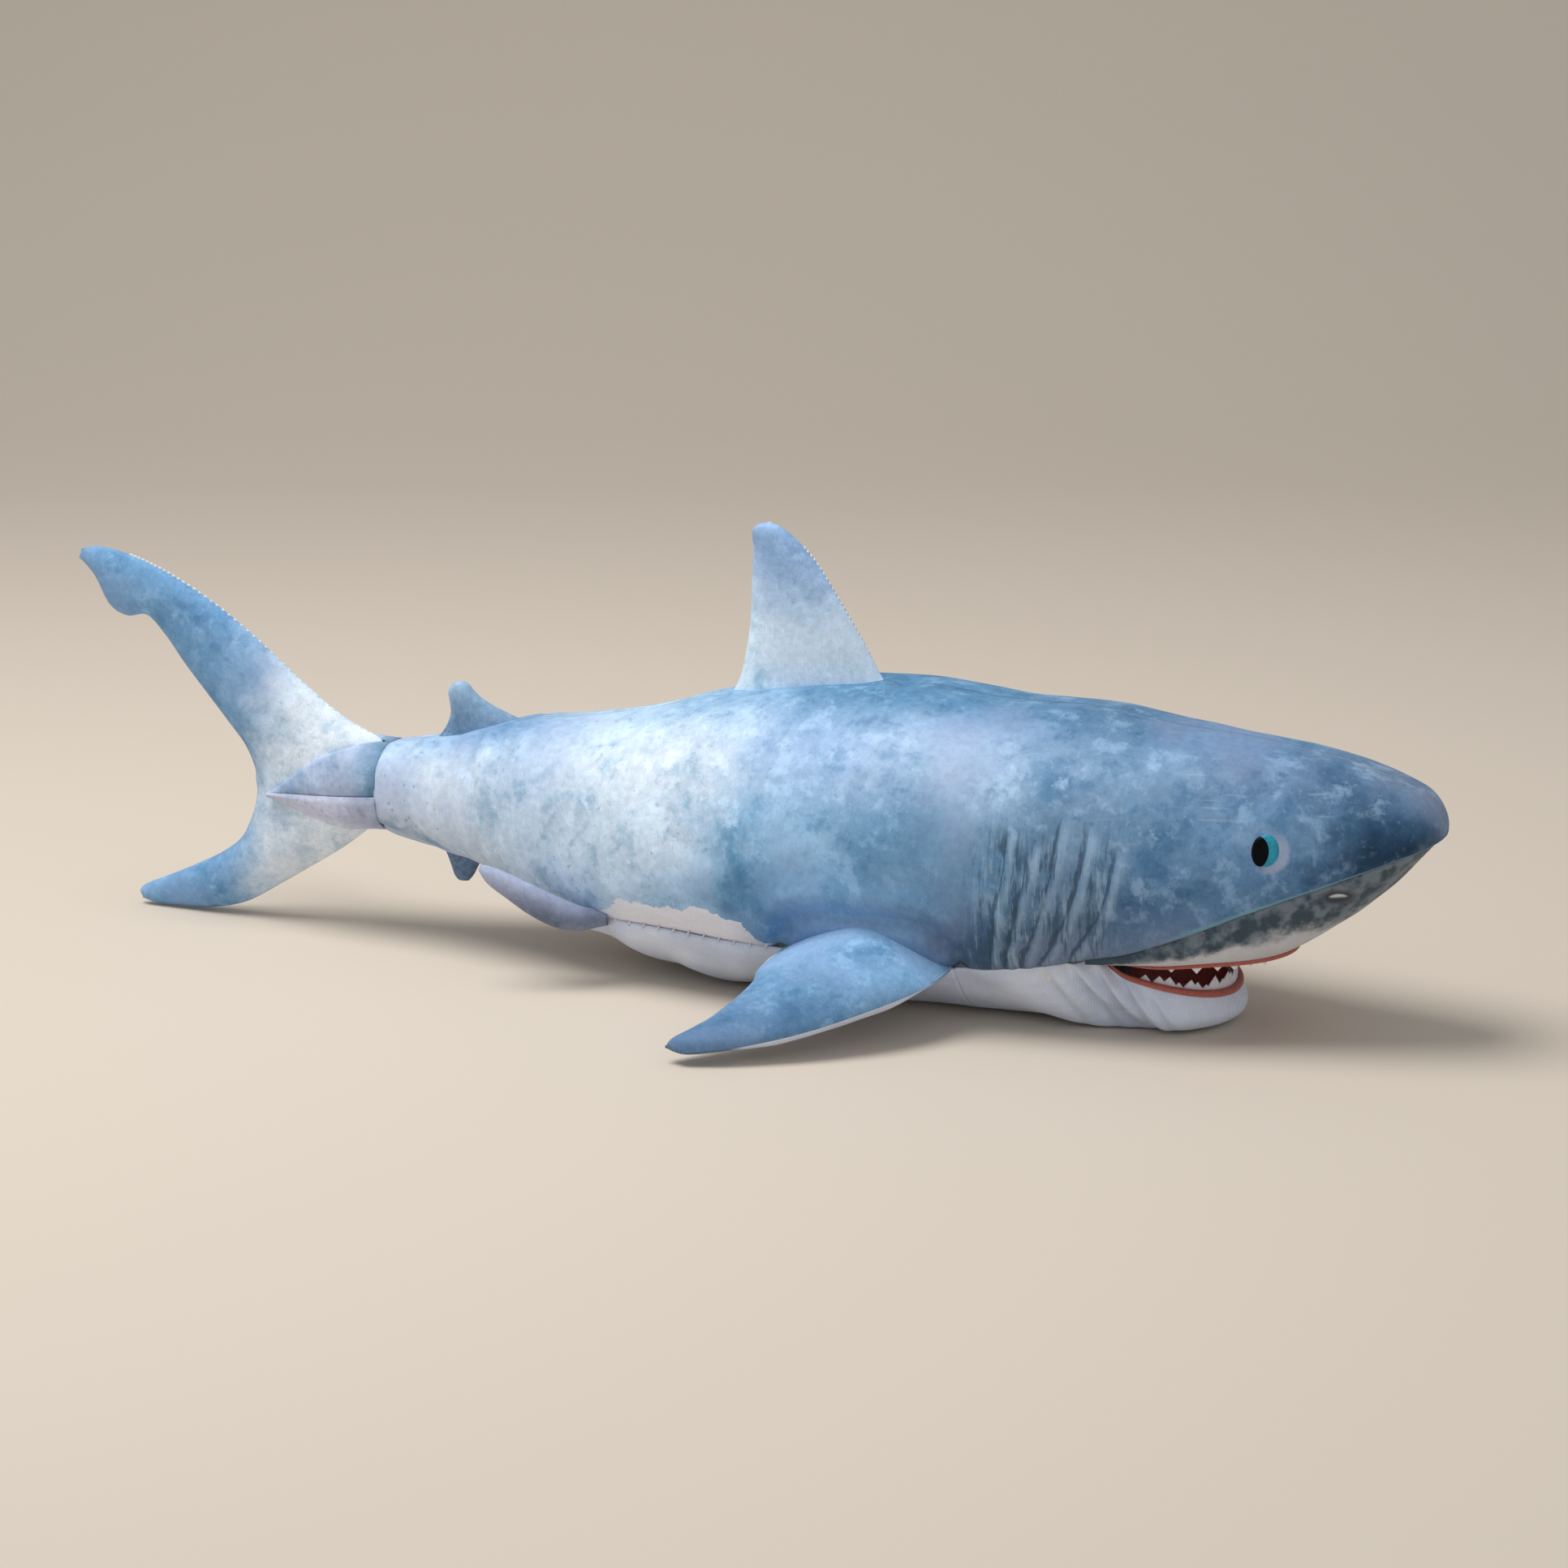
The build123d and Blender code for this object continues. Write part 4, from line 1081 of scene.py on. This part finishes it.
class SHARK_OT_mouth(StuffedPiece, bpy.types.Operator):
    """Linings, lip cords and felt teeth"""

    bl_idname = "shark.mouth"
    bl_label = "Mouth"

    def execute(self, context):
        upper = sheet_piece(
            "upper_mouth_lining_cloth", 110, 34, [upper_lining], lambda point: point + Vector((0, 0, -1)),
            MATERIALS["lining"], 0.8 * MM)
        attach(upper, "torso")
        lower = sheet_piece(
            "lower_mouth_lining_cloth", 110, 34, [lower_lining], lambda point: point - Vector((0, 0, 1)),
            MATERIALS["lining"], 0.8 * MM)
        bend_at_jaw(lower)
        upper_lip = tube_piece(
            "upper_lip_cord", 160, 14, lambda share: lip_point(UPPER_MOUTH, 2 * share - 1),
            lambda share: self.sizes.lip_radius * (1 - 0.6 * abs(2 * share - 1) ** 2), MATERIALS["lip"])
        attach(upper_lip, "torso")
        lower_lip = tube_piece(
            "lower_lip_cord", 160, 14, lambda share: lip_point(LOWER_MOUTH, 2 * share - 1, lower=True),
            lambda share: self.sizes.lip_radius * (1.15 - 0.5 * abs(2 * share - 1) ** 3), MATERIALS["lip"])
        bend_at_jaw(lower_lip)
        upper_teeth = tooth_row("upper_teeth_felt", UPPER_MOUTH, UPPER_TEETH, True, MATERIALS["felt"])
        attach(upper_teeth, "torso")
        lower_teeth = tooth_row("lower_teeth_felt", LOWER_MOUTH, LOWER_TEETH, False, MATERIALS["felt"])
        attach(lower_teeth, "jaw")
        for piece, node, name in (
            (upper, "upper_mouth_lining", "lining_fabric"), (lower, "lower_mouth_lining", "lining_fabric"),
            (upper_lip, "upper_lip", "lip_piping"), (lower_lip, "lower_lip", "lip_piping"),
            (upper_teeth, "upper_teeth", "white_felt"), (lower_teeth, "lower_teeth", "white_felt"),
        ):
            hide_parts(node)
        return {"FINISHED"}


# ---- eyes ----
def eye_patch(side, centre, half_x, half_z, proud):
    """An oval of satin stitch that lies on the cheek, raised in its middle."""
    def place(turn, outward):
        angle = turn * 2 * math.pi
        x = centre[0] + half_x * outward * math.cos(angle)
        z = centre[1] + half_z * outward * math.sin(angle)
        # The patch sits on the same relief as the fabric under it.
        level = proud * math.sqrt(max(1 - outward ** 4, 0)) - 0.5 * outward ** 6
        skin = flank_y(x, z)
        relief = face_relief(x, z) + body_lumps((x, side * skin, z))
        return Vector((x, side * (skin + relief + level + 0.35), z))
    return place


class SHARK_OT_eyes(StuffedPiece, bpy.types.Operator):
    """Satin-stitched irises and pupils"""

    bl_idname = "shark.eyes"
    bl_label = "Eyes"

    def execute(self, context):
        for side, name in ((-1, "right"), (1, "left")):
            iris = sheet_piece(
                f"iris_{name}_stitch", 56, 14, [eye_patch(side, EYE, 5.3, 6.7, 0.7)], middle_plane,
                MATERIALS["iris"], 0.5 * MM)
            pupil_centre = (EYE[0] - 1.9, EYE[1] - 0.4)
            pupil = sheet_piece(
                f"pupil_{name}_stitch", 56, 12, [eye_patch(side, pupil_centre, 3.9, 6.3, 1.25)], middle_plane,
                MATERIALS["pupil"], 0.5 * MM)
            for piece, node, slot_name in ((iris, "iris", "iris_thread"), (pupil, "pupil", "pupil_thread")):
                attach(piece, "torso")
                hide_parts(f"{node}_{name}")
        return {"FINISHED"}


# ---- fins ----
def fin_face(rows, face, put):
    """Place function for one face of a fin, whose edge rows close on the other face's."""
    def place(out, across):
        eased = 0.5 - 0.5 * math.cos(across * math.pi)
        first, second, height = fin_point(rows, out, eased, face)
        open_root = rows is not TAIL_FIN and out < 0.5
        if across < 0.001 or across > 0.999 or (min(out, 1 - out) < 0.001 and not open_root):
            height = 0.0
        return put(first, second, height)
    return place


def fin_around(rows, put, inset, start=0.0):
    """Place function that wraps right round a fin, for its filling."""
    def place(out, turn):
        face = 1 if turn < 0.5 else -1
        across = 2 * turn if turn < 0.5 else 2 - 2 * turn
        eased = 0.5 - 0.5 * math.cos(across * math.pi)
        first, second, height = fin_point(rows, mix(start, 0.985, out), eased, face, inset)
        return put(first, second, 0.0 if across < 0.001 or across > 0.999 else height)
    return place


def upright(first, second, height):
    """Fins that stand in the toy's middle plane."""
    return Vector((first, height, second))


class SHARK_OT_dorsal_fin(StuffedPiece, bpy.types.Operator):
    """Dorsal fin: two covers and its filling"""

    bl_idname = "shark.dorsal_fin"
    bl_label = "Dorsal Fin"

    def execute(self, context):
        for face, name in ((-1, "right"), (1, "left")):
            piece = sheet_piece(
                f"dorsal_panel_{name}", 90, 70, [fin_face(DORSAL, face, upright)],
                middle_plane, MATERIALS["dorsal"], THIN_FABRIC)
            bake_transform(piece)
            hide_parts(f"dorsal_cover_{name}")
        around = fin_around(DORSAL, upright, 2.2, 0.25)
        core = closed_filling("dorsal_fibre", 50, 48, around, MATERIALS["filling"])
        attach(core, "dorsal_fin")
        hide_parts("dorsal_filling")
        return {"FINISHED"}


class SHARK_OT_tail_fin(StuffedPiece, bpy.types.Operator):
    """Crescent tail fin: two covers and its filling"""

    bl_idname = "shark.tail_fin"
    bl_label = "Tail Fin"

    def execute(self, context):
        for face, name in ((-1, "right"), (1, "left")):
            piece = sheet_piece(
                f"tail_fin_panel_{name}", 170, 60, [fin_face(TAIL_FIN, face, upright)],
                middle_plane, MATERIALS["tail_fin"], THIN_FABRIC)
            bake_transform(piece)
            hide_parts(f"tail_fin_cover_{name}")
        around = fin_around(TAIL_FIN, upright, 2.4)
        core = closed_filling("tail_fin_fibre", 110, 44, around, MATERIALS["filling"])
        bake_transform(core)
        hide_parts("tail_fin_filling")
        return {"FINISHED"}


class SHARK_OT_pectoral_fins(StuffedPiece, bpy.types.Operator):
    """Pectoral fins: top and bottom covers and filling on each side"""

    bl_idname = "shark.pectoral_fins"
    bl_label = "Pectoral Fins"

    def execute(self, context):
        for side, name in ((-1, "right"), (1, "left")):
            put = lambda first, second, height, side=side: pectoral_place(side, first, second, height)
            for face, level in ((1, "top"), (-1, "bottom")):
                core = lambda point, face=face: point - Vector((0, 0, face))
                piece = sheet_piece(
                    f"pectoral_{level}_panel_{name}", 100, 70, [fin_face(PECTORAL, face, put)], core,
                    MATERIALS[f"fin_{name}" if face > 0 else "fin_under"], THIN_FABRIC)
                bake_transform(piece)
                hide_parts(f"pectoral_{level}_cover_{name}")
            core = closed_filling(
                f"pectoral_fibre_{name}", 60, 48, fin_around(PECTORAL, put, 2.2, 0.14),
                MATERIALS["filling"])
            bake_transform(core)
            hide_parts(f"pectoral_filling_{name}")
        return {"FINISHED"}


class SHARK_OT_pelvic_fins(StuffedPiece, bpy.types.Operator):
    """Pelvic fins: outer and inner covers and filling on each side"""

    bl_idname = "shark.pelvic_fins"
    bl_label = "Pelvic Fins"

    def execute(self, context):
        for side, name in ((-1, "right"), (1, "left")):
            put = lambda first, second, height, side=side: pelvic_place(side, first, second, height)
            for face, level in ((1, "outer"), (-1, "inner")):
                core = lambda point, face=face, side=side: point - Vector((0, side * face, 0))
                piece = sheet_piece(
                    f"pelvic_{level}_panel_{name}", 60, 30, [fin_face(PELVIC, face, put)], core,
                    MATERIALS["pelvic"], 0.7 * MM)
                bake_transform(piece)
                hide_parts(f"pelvic_{level}_cover_{name}")
            core = closed_filling(
                f"pelvic_fibre_{name}", 36, 24, fin_around(PELVIC, put, 1.4, 0.2), MATERIALS["filling"])
            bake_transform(core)
            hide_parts(f"pelvic_filling_{name}")
        return {"FINISHED"}


class SHARK_OT_small_fins(StuffedPiece, bpy.types.Operator):
    """Second dorsal fin and anal fin, small stuffed nubs"""

    bl_idname = "shark.small_fins"
    bl_label = "Small Fins"

    def execute(self, context):
        for name, node, rows, finish in (
            ("second_dorsal_nub", "second_dorsal_fin", SECOND_DORSAL, "nub"),
            ("anal_nub", "anal_fin", ANAL_FIN, "anal"),
        ):
            piece = closed_filling(name, 44, 44, fin_around(rows, upright, 0.0), MATERIALS[finish])
            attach(piece, "rear_body")
            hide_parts(node)
        return {"FINISHED"}


# ---- tail stock ----
def stock_panel(side, upper):
    """One side of the stock's upper or lower panel, which tapers to a point over the tail fin's root."""
    def place(share, down):
        x = mix(STOCK_X + 0.6, V_APEX[0], share)
        seam_z = mix(67.0, V_APEX[1], share)
        edge = mix(89.5 if upper else 49.0, V_APEX[1], smooth(clamp((x + 166) / (V_APEX[0] + 166)) * 0.5) * 2)
        under = 11.5 * smooth((-164 - x) / 16)
        wide = mix(20.4, 13.4, smooth(share * 1.1)) + 1.6 * math.sin(share * math.pi)
        angle = down * math.pi / 2
        y = under + (wide - under) * math.sin(angle) ** 0.8
        z = mix(edge, seam_z, 1 - math.cos(angle))
        point = Vector((x, side * y, z))
        from_seam = (1 - down) * 24
        proud = 0.5 * lumps(point, 16, 4) - bell(from_seam, 24, 2.4) - 1.2 * bell(from_seam, 0, 2.0)
        proud -= 0.3 * bell(x, STOCK_X, 2.5)
        return point + Vector((0, side * math.sin(angle), (1 if upper else -1) * math.cos(angle))) * proud
    return place


class SHARK_OT_tail_stock(StuffedPiece, bpy.types.Operator):
    """Tail stock panels that end in a V over the tail fin"""

    bl_idname = "shark.tail_stock"
    bl_label = "Tail Stock"

    def execute(self, context):
        for level, finish in (("upper", "stock"), ("lower", "stock_low")):
            sides = [stock_panel(side, level == "upper") for side in (-1, 1)]
            piece = sheet_piece(
                f"tail_stock_{level}_panel", 50, 30, sides,
                lambda point: Vector((point.x, 0, 0.066)), MATERIALS[finish], THIN_FABRIC)
            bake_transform(piece)
            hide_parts(f"tail_stock_{level}_cover")
        return {"FINISHED"}


# ---- filling ----
def body_filling(start, end, inset, blunt=10.0):
    """A stuffed core between two stations, with rounded ends."""
    def place(share, turn):
        x = mix(start, end, share)
        close = math.sqrt(clamp(min(share, 1 - share) * abs(end - start) / blunt))
        angle = turn * 2 * math.pi
        side = 1 if math.cos(angle) > 0 else -1
        level = math.asin(clamp(math.sin(angle), -1, 1))
        outside = body_point(x, level, side, -inset - 1.2 * abs(lumps((x, turn * 90, 0), 14, 2)))
        return Vector((x, 0, body_section(x)[3])).lerp(outside, close)
    return place


class SHARK_OT_filling(StuffedPiece, bpy.types.Operator):
    """Fibre filling of the body, rear body, tail stock and jaw"""

    bl_idname = "shark.filling"
    bl_label = "Filling"

    def execute(self, context):
        def head_and_torso(share, turn):
            point = body_filling(CREASE_X + 14, 286, 5.0, 18)(share, turn)
            palate = MOUTH[1] + 16 + 0.06 * (point.x - MOUTH[0]) + 0.9 * max(point.x - 250, 0)
            rise = smooth((point.x - 166) / 20)
            return Vector((point.x, point.y, max(point.z, mix(point.z, palate, rise))))

        def jaw_core(share, turn):
            half = (LOWER_MOUTH[0] - 8) * math.sqrt(max(1 - share ** 2.6, 0))
            angle = turn * 2 * math.pi
            thick = mix(6.0, 3.0, share) * (1 - share ** 4)
            height = mix(9.5, 6.5, share) + thick * math.sin(angle)
            return Vector((mix(192, 232, share), half * math.cos(angle), height))

        rear = body_filling(STOCK_X + 2, CREASE_X - 14, 4.0, 12)
        stock = body_filling(-176, STOCK_X - 2, 4.0, 6)
        for name, columns, around, place, body, node, fill in (
            ("body_fibre", 120, 60, head_and_torso, "torso", "torso_filling", 0.85),
            ("rear_fibre", 40, 48, rear, "rear_body", "rear_filling", 0.8),
            ("tail_stock_fibre", 20, 36, stock, "rear_body", "tail_stock_filling", 0.8),
            ("jaw_fibre", 36, 40, jaw_core, "jaw", "jaw_filling", 0.7),
        ):
            piece = closed_filling(name, columns, around, place, MATERIALS["filling"])
            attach(piece, body)
            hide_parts(node)
        return {"FINISHED"}


# ---- stitches ----
def edge_stitches(rows, start, end, count, put, across=0.02):
    """Places along a fin's front edge for its visible thread."""
    spots = []
    for number in range(count):
        out = mix(start, end, number / (count - 1))
        here = put(*fin_point(rows, out, across, 1)[:2], 0.0)
        ahead = put(*fin_point(rows, out + 0.01, across, 1)[:2], 0.0) - here
        inner = put(*fin_point(rows, out, 0.2, 1)[:2], 0.0)
        outward = here - inner
        spots.append((here + outward.normalized() * 0.5, ahead + outward.normalized() * 0.5, outward))
    return spots


class SHARK_OT_stitches(StuffedPiece, bpy.types.Operator):
    """Hand closing stitches under the flank and the thread along the fins' front edges"""

    bl_idname = "shark.stitches"
    bl_label = "Stitches"

    def execute(self, context):
        length = self.sizes.stitch
        spots = []
        for number in range(11):
            x = -30 + 7.4 * number
            angle = seam_angle(x) + 0.01
            here = body_point(x, angle, -1, -0.9)
            along = Vector((0.35, -0.2, 1)) if number % 2 else Vector((0.6, -0.2, 1))
            spots.append((here, along, Vector((0, -1, -0.6))))
        closing = stitches_piece("closing_thread", spots, 5.0, 0.45, MATERIALS["thread"])
        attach(closing, "torso")
        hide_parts("closing_stitches")
        dorsal = stitches_piece(
            "dorsal_seam_thread", edge_stitches(DORSAL, 0.16, 0.76, 30, upright), length, 0.7,
            MATERIALS["blue_thread"])
        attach(dorsal, "dorsal_fin")
        tail = stitches_piece(
            "tail_fin_seam_thread", edge_stitches(TAIL_FIN, 0.55, 0.87, 44, upright), length, 0.7,
            MATERIALS["blue_thread"])
        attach(tail, "tail_fin")
        return {"FINISHED"}


# ---- studio ----
def area_light(name, place, aim, size, power, colour):
    data = bpy.data.lights.new(name, "AREA")
    data.shape, data.size, data.energy, data.color = "DISK", size, power, colour
    lamp = bpy.data.objects.new(name, data)
    lamp.location = place
    lamp.rotation_euler = (Vector(aim) - Vector(place)).to_track_quat("-Z", "Y").to_euler()
    bpy.context.scene.collection.objects.link(lamp)


class SHARK_OT_stage(StuffedPiece, bpy.types.Operator):
    """Pale floor, soft lights and the camera"""

    bl_idname = "shark.stage"
    bl_label = "Stage"

    def execute(self, context):
        scene = bpy.context.scene
        material = bpy.data.materials.new("studio_paper")
        material.use_nodes = True
        shader = material.node_tree.nodes["Principled BSDF"]
        shader.inputs["Base Color"].default_value = (*scene.shark_colours.floor, 1)
        shader.inputs["Roughness"].default_value = 0.9
        # One sheet of paper that lies flat and sweeps up behind the toy.
        mesh = bmesh.new()
        made = bmesh.ops.create_grid(mesh, x_segments=2, y_segments=96, size=0.5)
        for vertex in made["verts"]:
            along = (vertex.co.y + 0.5) * 18 - 14
            curve = clamp((along - 1.4) / 1.6) * math.pi / 2
            rise = 1.02 * (1 - math.cos(curve)) + max(along - 3.0, 0)
            vertex.co = Vector((vertex.co.x * 26, min(along, 1.4) + 1.02 * math.sin(curve), rise))
        turn = Matrix.Rotation(math.radians(21), 4, "Z")
        bmesh.ops.transform(mesh, matrix=turn, verts=mesh.verts)
        for face in mesh.faces:
            face.smooth = True
        data = bpy.data.meshes.new("studio_floor")
        mesh.to_mesh(data)
        mesh.free()
        floor = bpy.data.objects.new("studio_floor", data)
        data.materials.append(material)
        scene.collection.objects.link(floor)
        world = bpy.data.worlds.new("studio_air")
        world.use_nodes = True
        world.node_tree.nodes["Background"].inputs["Color"].default_value = (0.93, 0.96, 1.0, 1)
        world.node_tree.nodes["Background"].inputs["Strength"].default_value = 0.47
        scene.world = world
        area_light("overhead_softbox", (-0.5, -0.25, 1.6), (0.0, 0.0, 0.05), 1.1, 23, (1.0, 0.99, 0.97))
        area_light("front_fill", (1.4, -1.6, 0.8), (0.1, 0.0, 0.06), 1.4, 2, (0.97, 0.98, 1.0))
        scene.view_settings.view_transform = "Standard"
        camera = bpy.data.objects.new("camera", bpy.data.cameras.new("camera"))
        azimuth, climb, distance = math.radians(21), math.radians(13.5), 1.6
        target = Vector((0.0447, -0.038, 0.095))
        back = Vector((
            math.sin(azimuth) * math.cos(climb), -math.cos(azimuth) * math.cos(climb), math.sin(climb)))
        camera.location = target + back * distance
        camera.rotation_euler = (-back).to_track_quat("-Z", "Y").to_euler()
        camera.data.lens = 86.5
        camera.data.sensor_width = 36
        scene.collection.objects.link(camera)
        scene.camera = camera
        return {"FINISHED"}


OPERATORS = (
    SHARK_OT_back_panels, SHARK_OT_belly_panel, SHARK_OT_snout_panel, SHARK_OT_throat_panel, SHARK_OT_mouth,
    SHARK_OT_eyes, SHARK_OT_dorsal_fin, SHARK_OT_tail_fin, SHARK_OT_pectoral_fins, SHARK_OT_pelvic_fins,
    SHARK_OT_small_fins, SHARK_OT_tail_stock, SHARK_OT_filling, SHARK_OT_stitches, SHARK_OT_stage,
)


class SHARK_PT_panel(bpy.types.Panel):
    """Lists the steps that build the toy"""

    bl_idname = "SHARK_PT_panel"
    bl_label = "Plush Shark"
    bl_space_type = "VIEW_3D"
    bl_region_type = "UI"
    bl_category = "Plush"

    def draw(self, context):
        for settings in (context.scene.shark_sizes, context.scene.shark_colours):
            for name in settings.__annotations__:
                self.layout.prop(settings, name)
        for step in OPERATORS:
            self.layout.operator(step.bl_idname)


CLASSES = (SharkColours, SharkSizes, *OPERATORS, SHARK_PT_panel)


def register():
    for item in CLASSES:
        bpy.utils.register_class(item)
    bpy.types.Scene.shark_colours = PointerProperty(type=SharkColours)
    bpy.types.Scene.shark_sizes = PointerProperty(type=SharkSizes)


def unregister():
    del bpy.types.Scene.shark_sizes
    del bpy.types.Scene.shark_colours
    for item in reversed(CLASSES):
        bpy.utils.unregister_class(item)


def main():
    register()
    make_materials(bpy.context.scene.shark_colours)
    for step in OPERATORS:
        family, action = step.bl_idname.split(".")
        getattr(getattr(bpy.ops, family), action)()


if __name__ == "__main__":
    main()
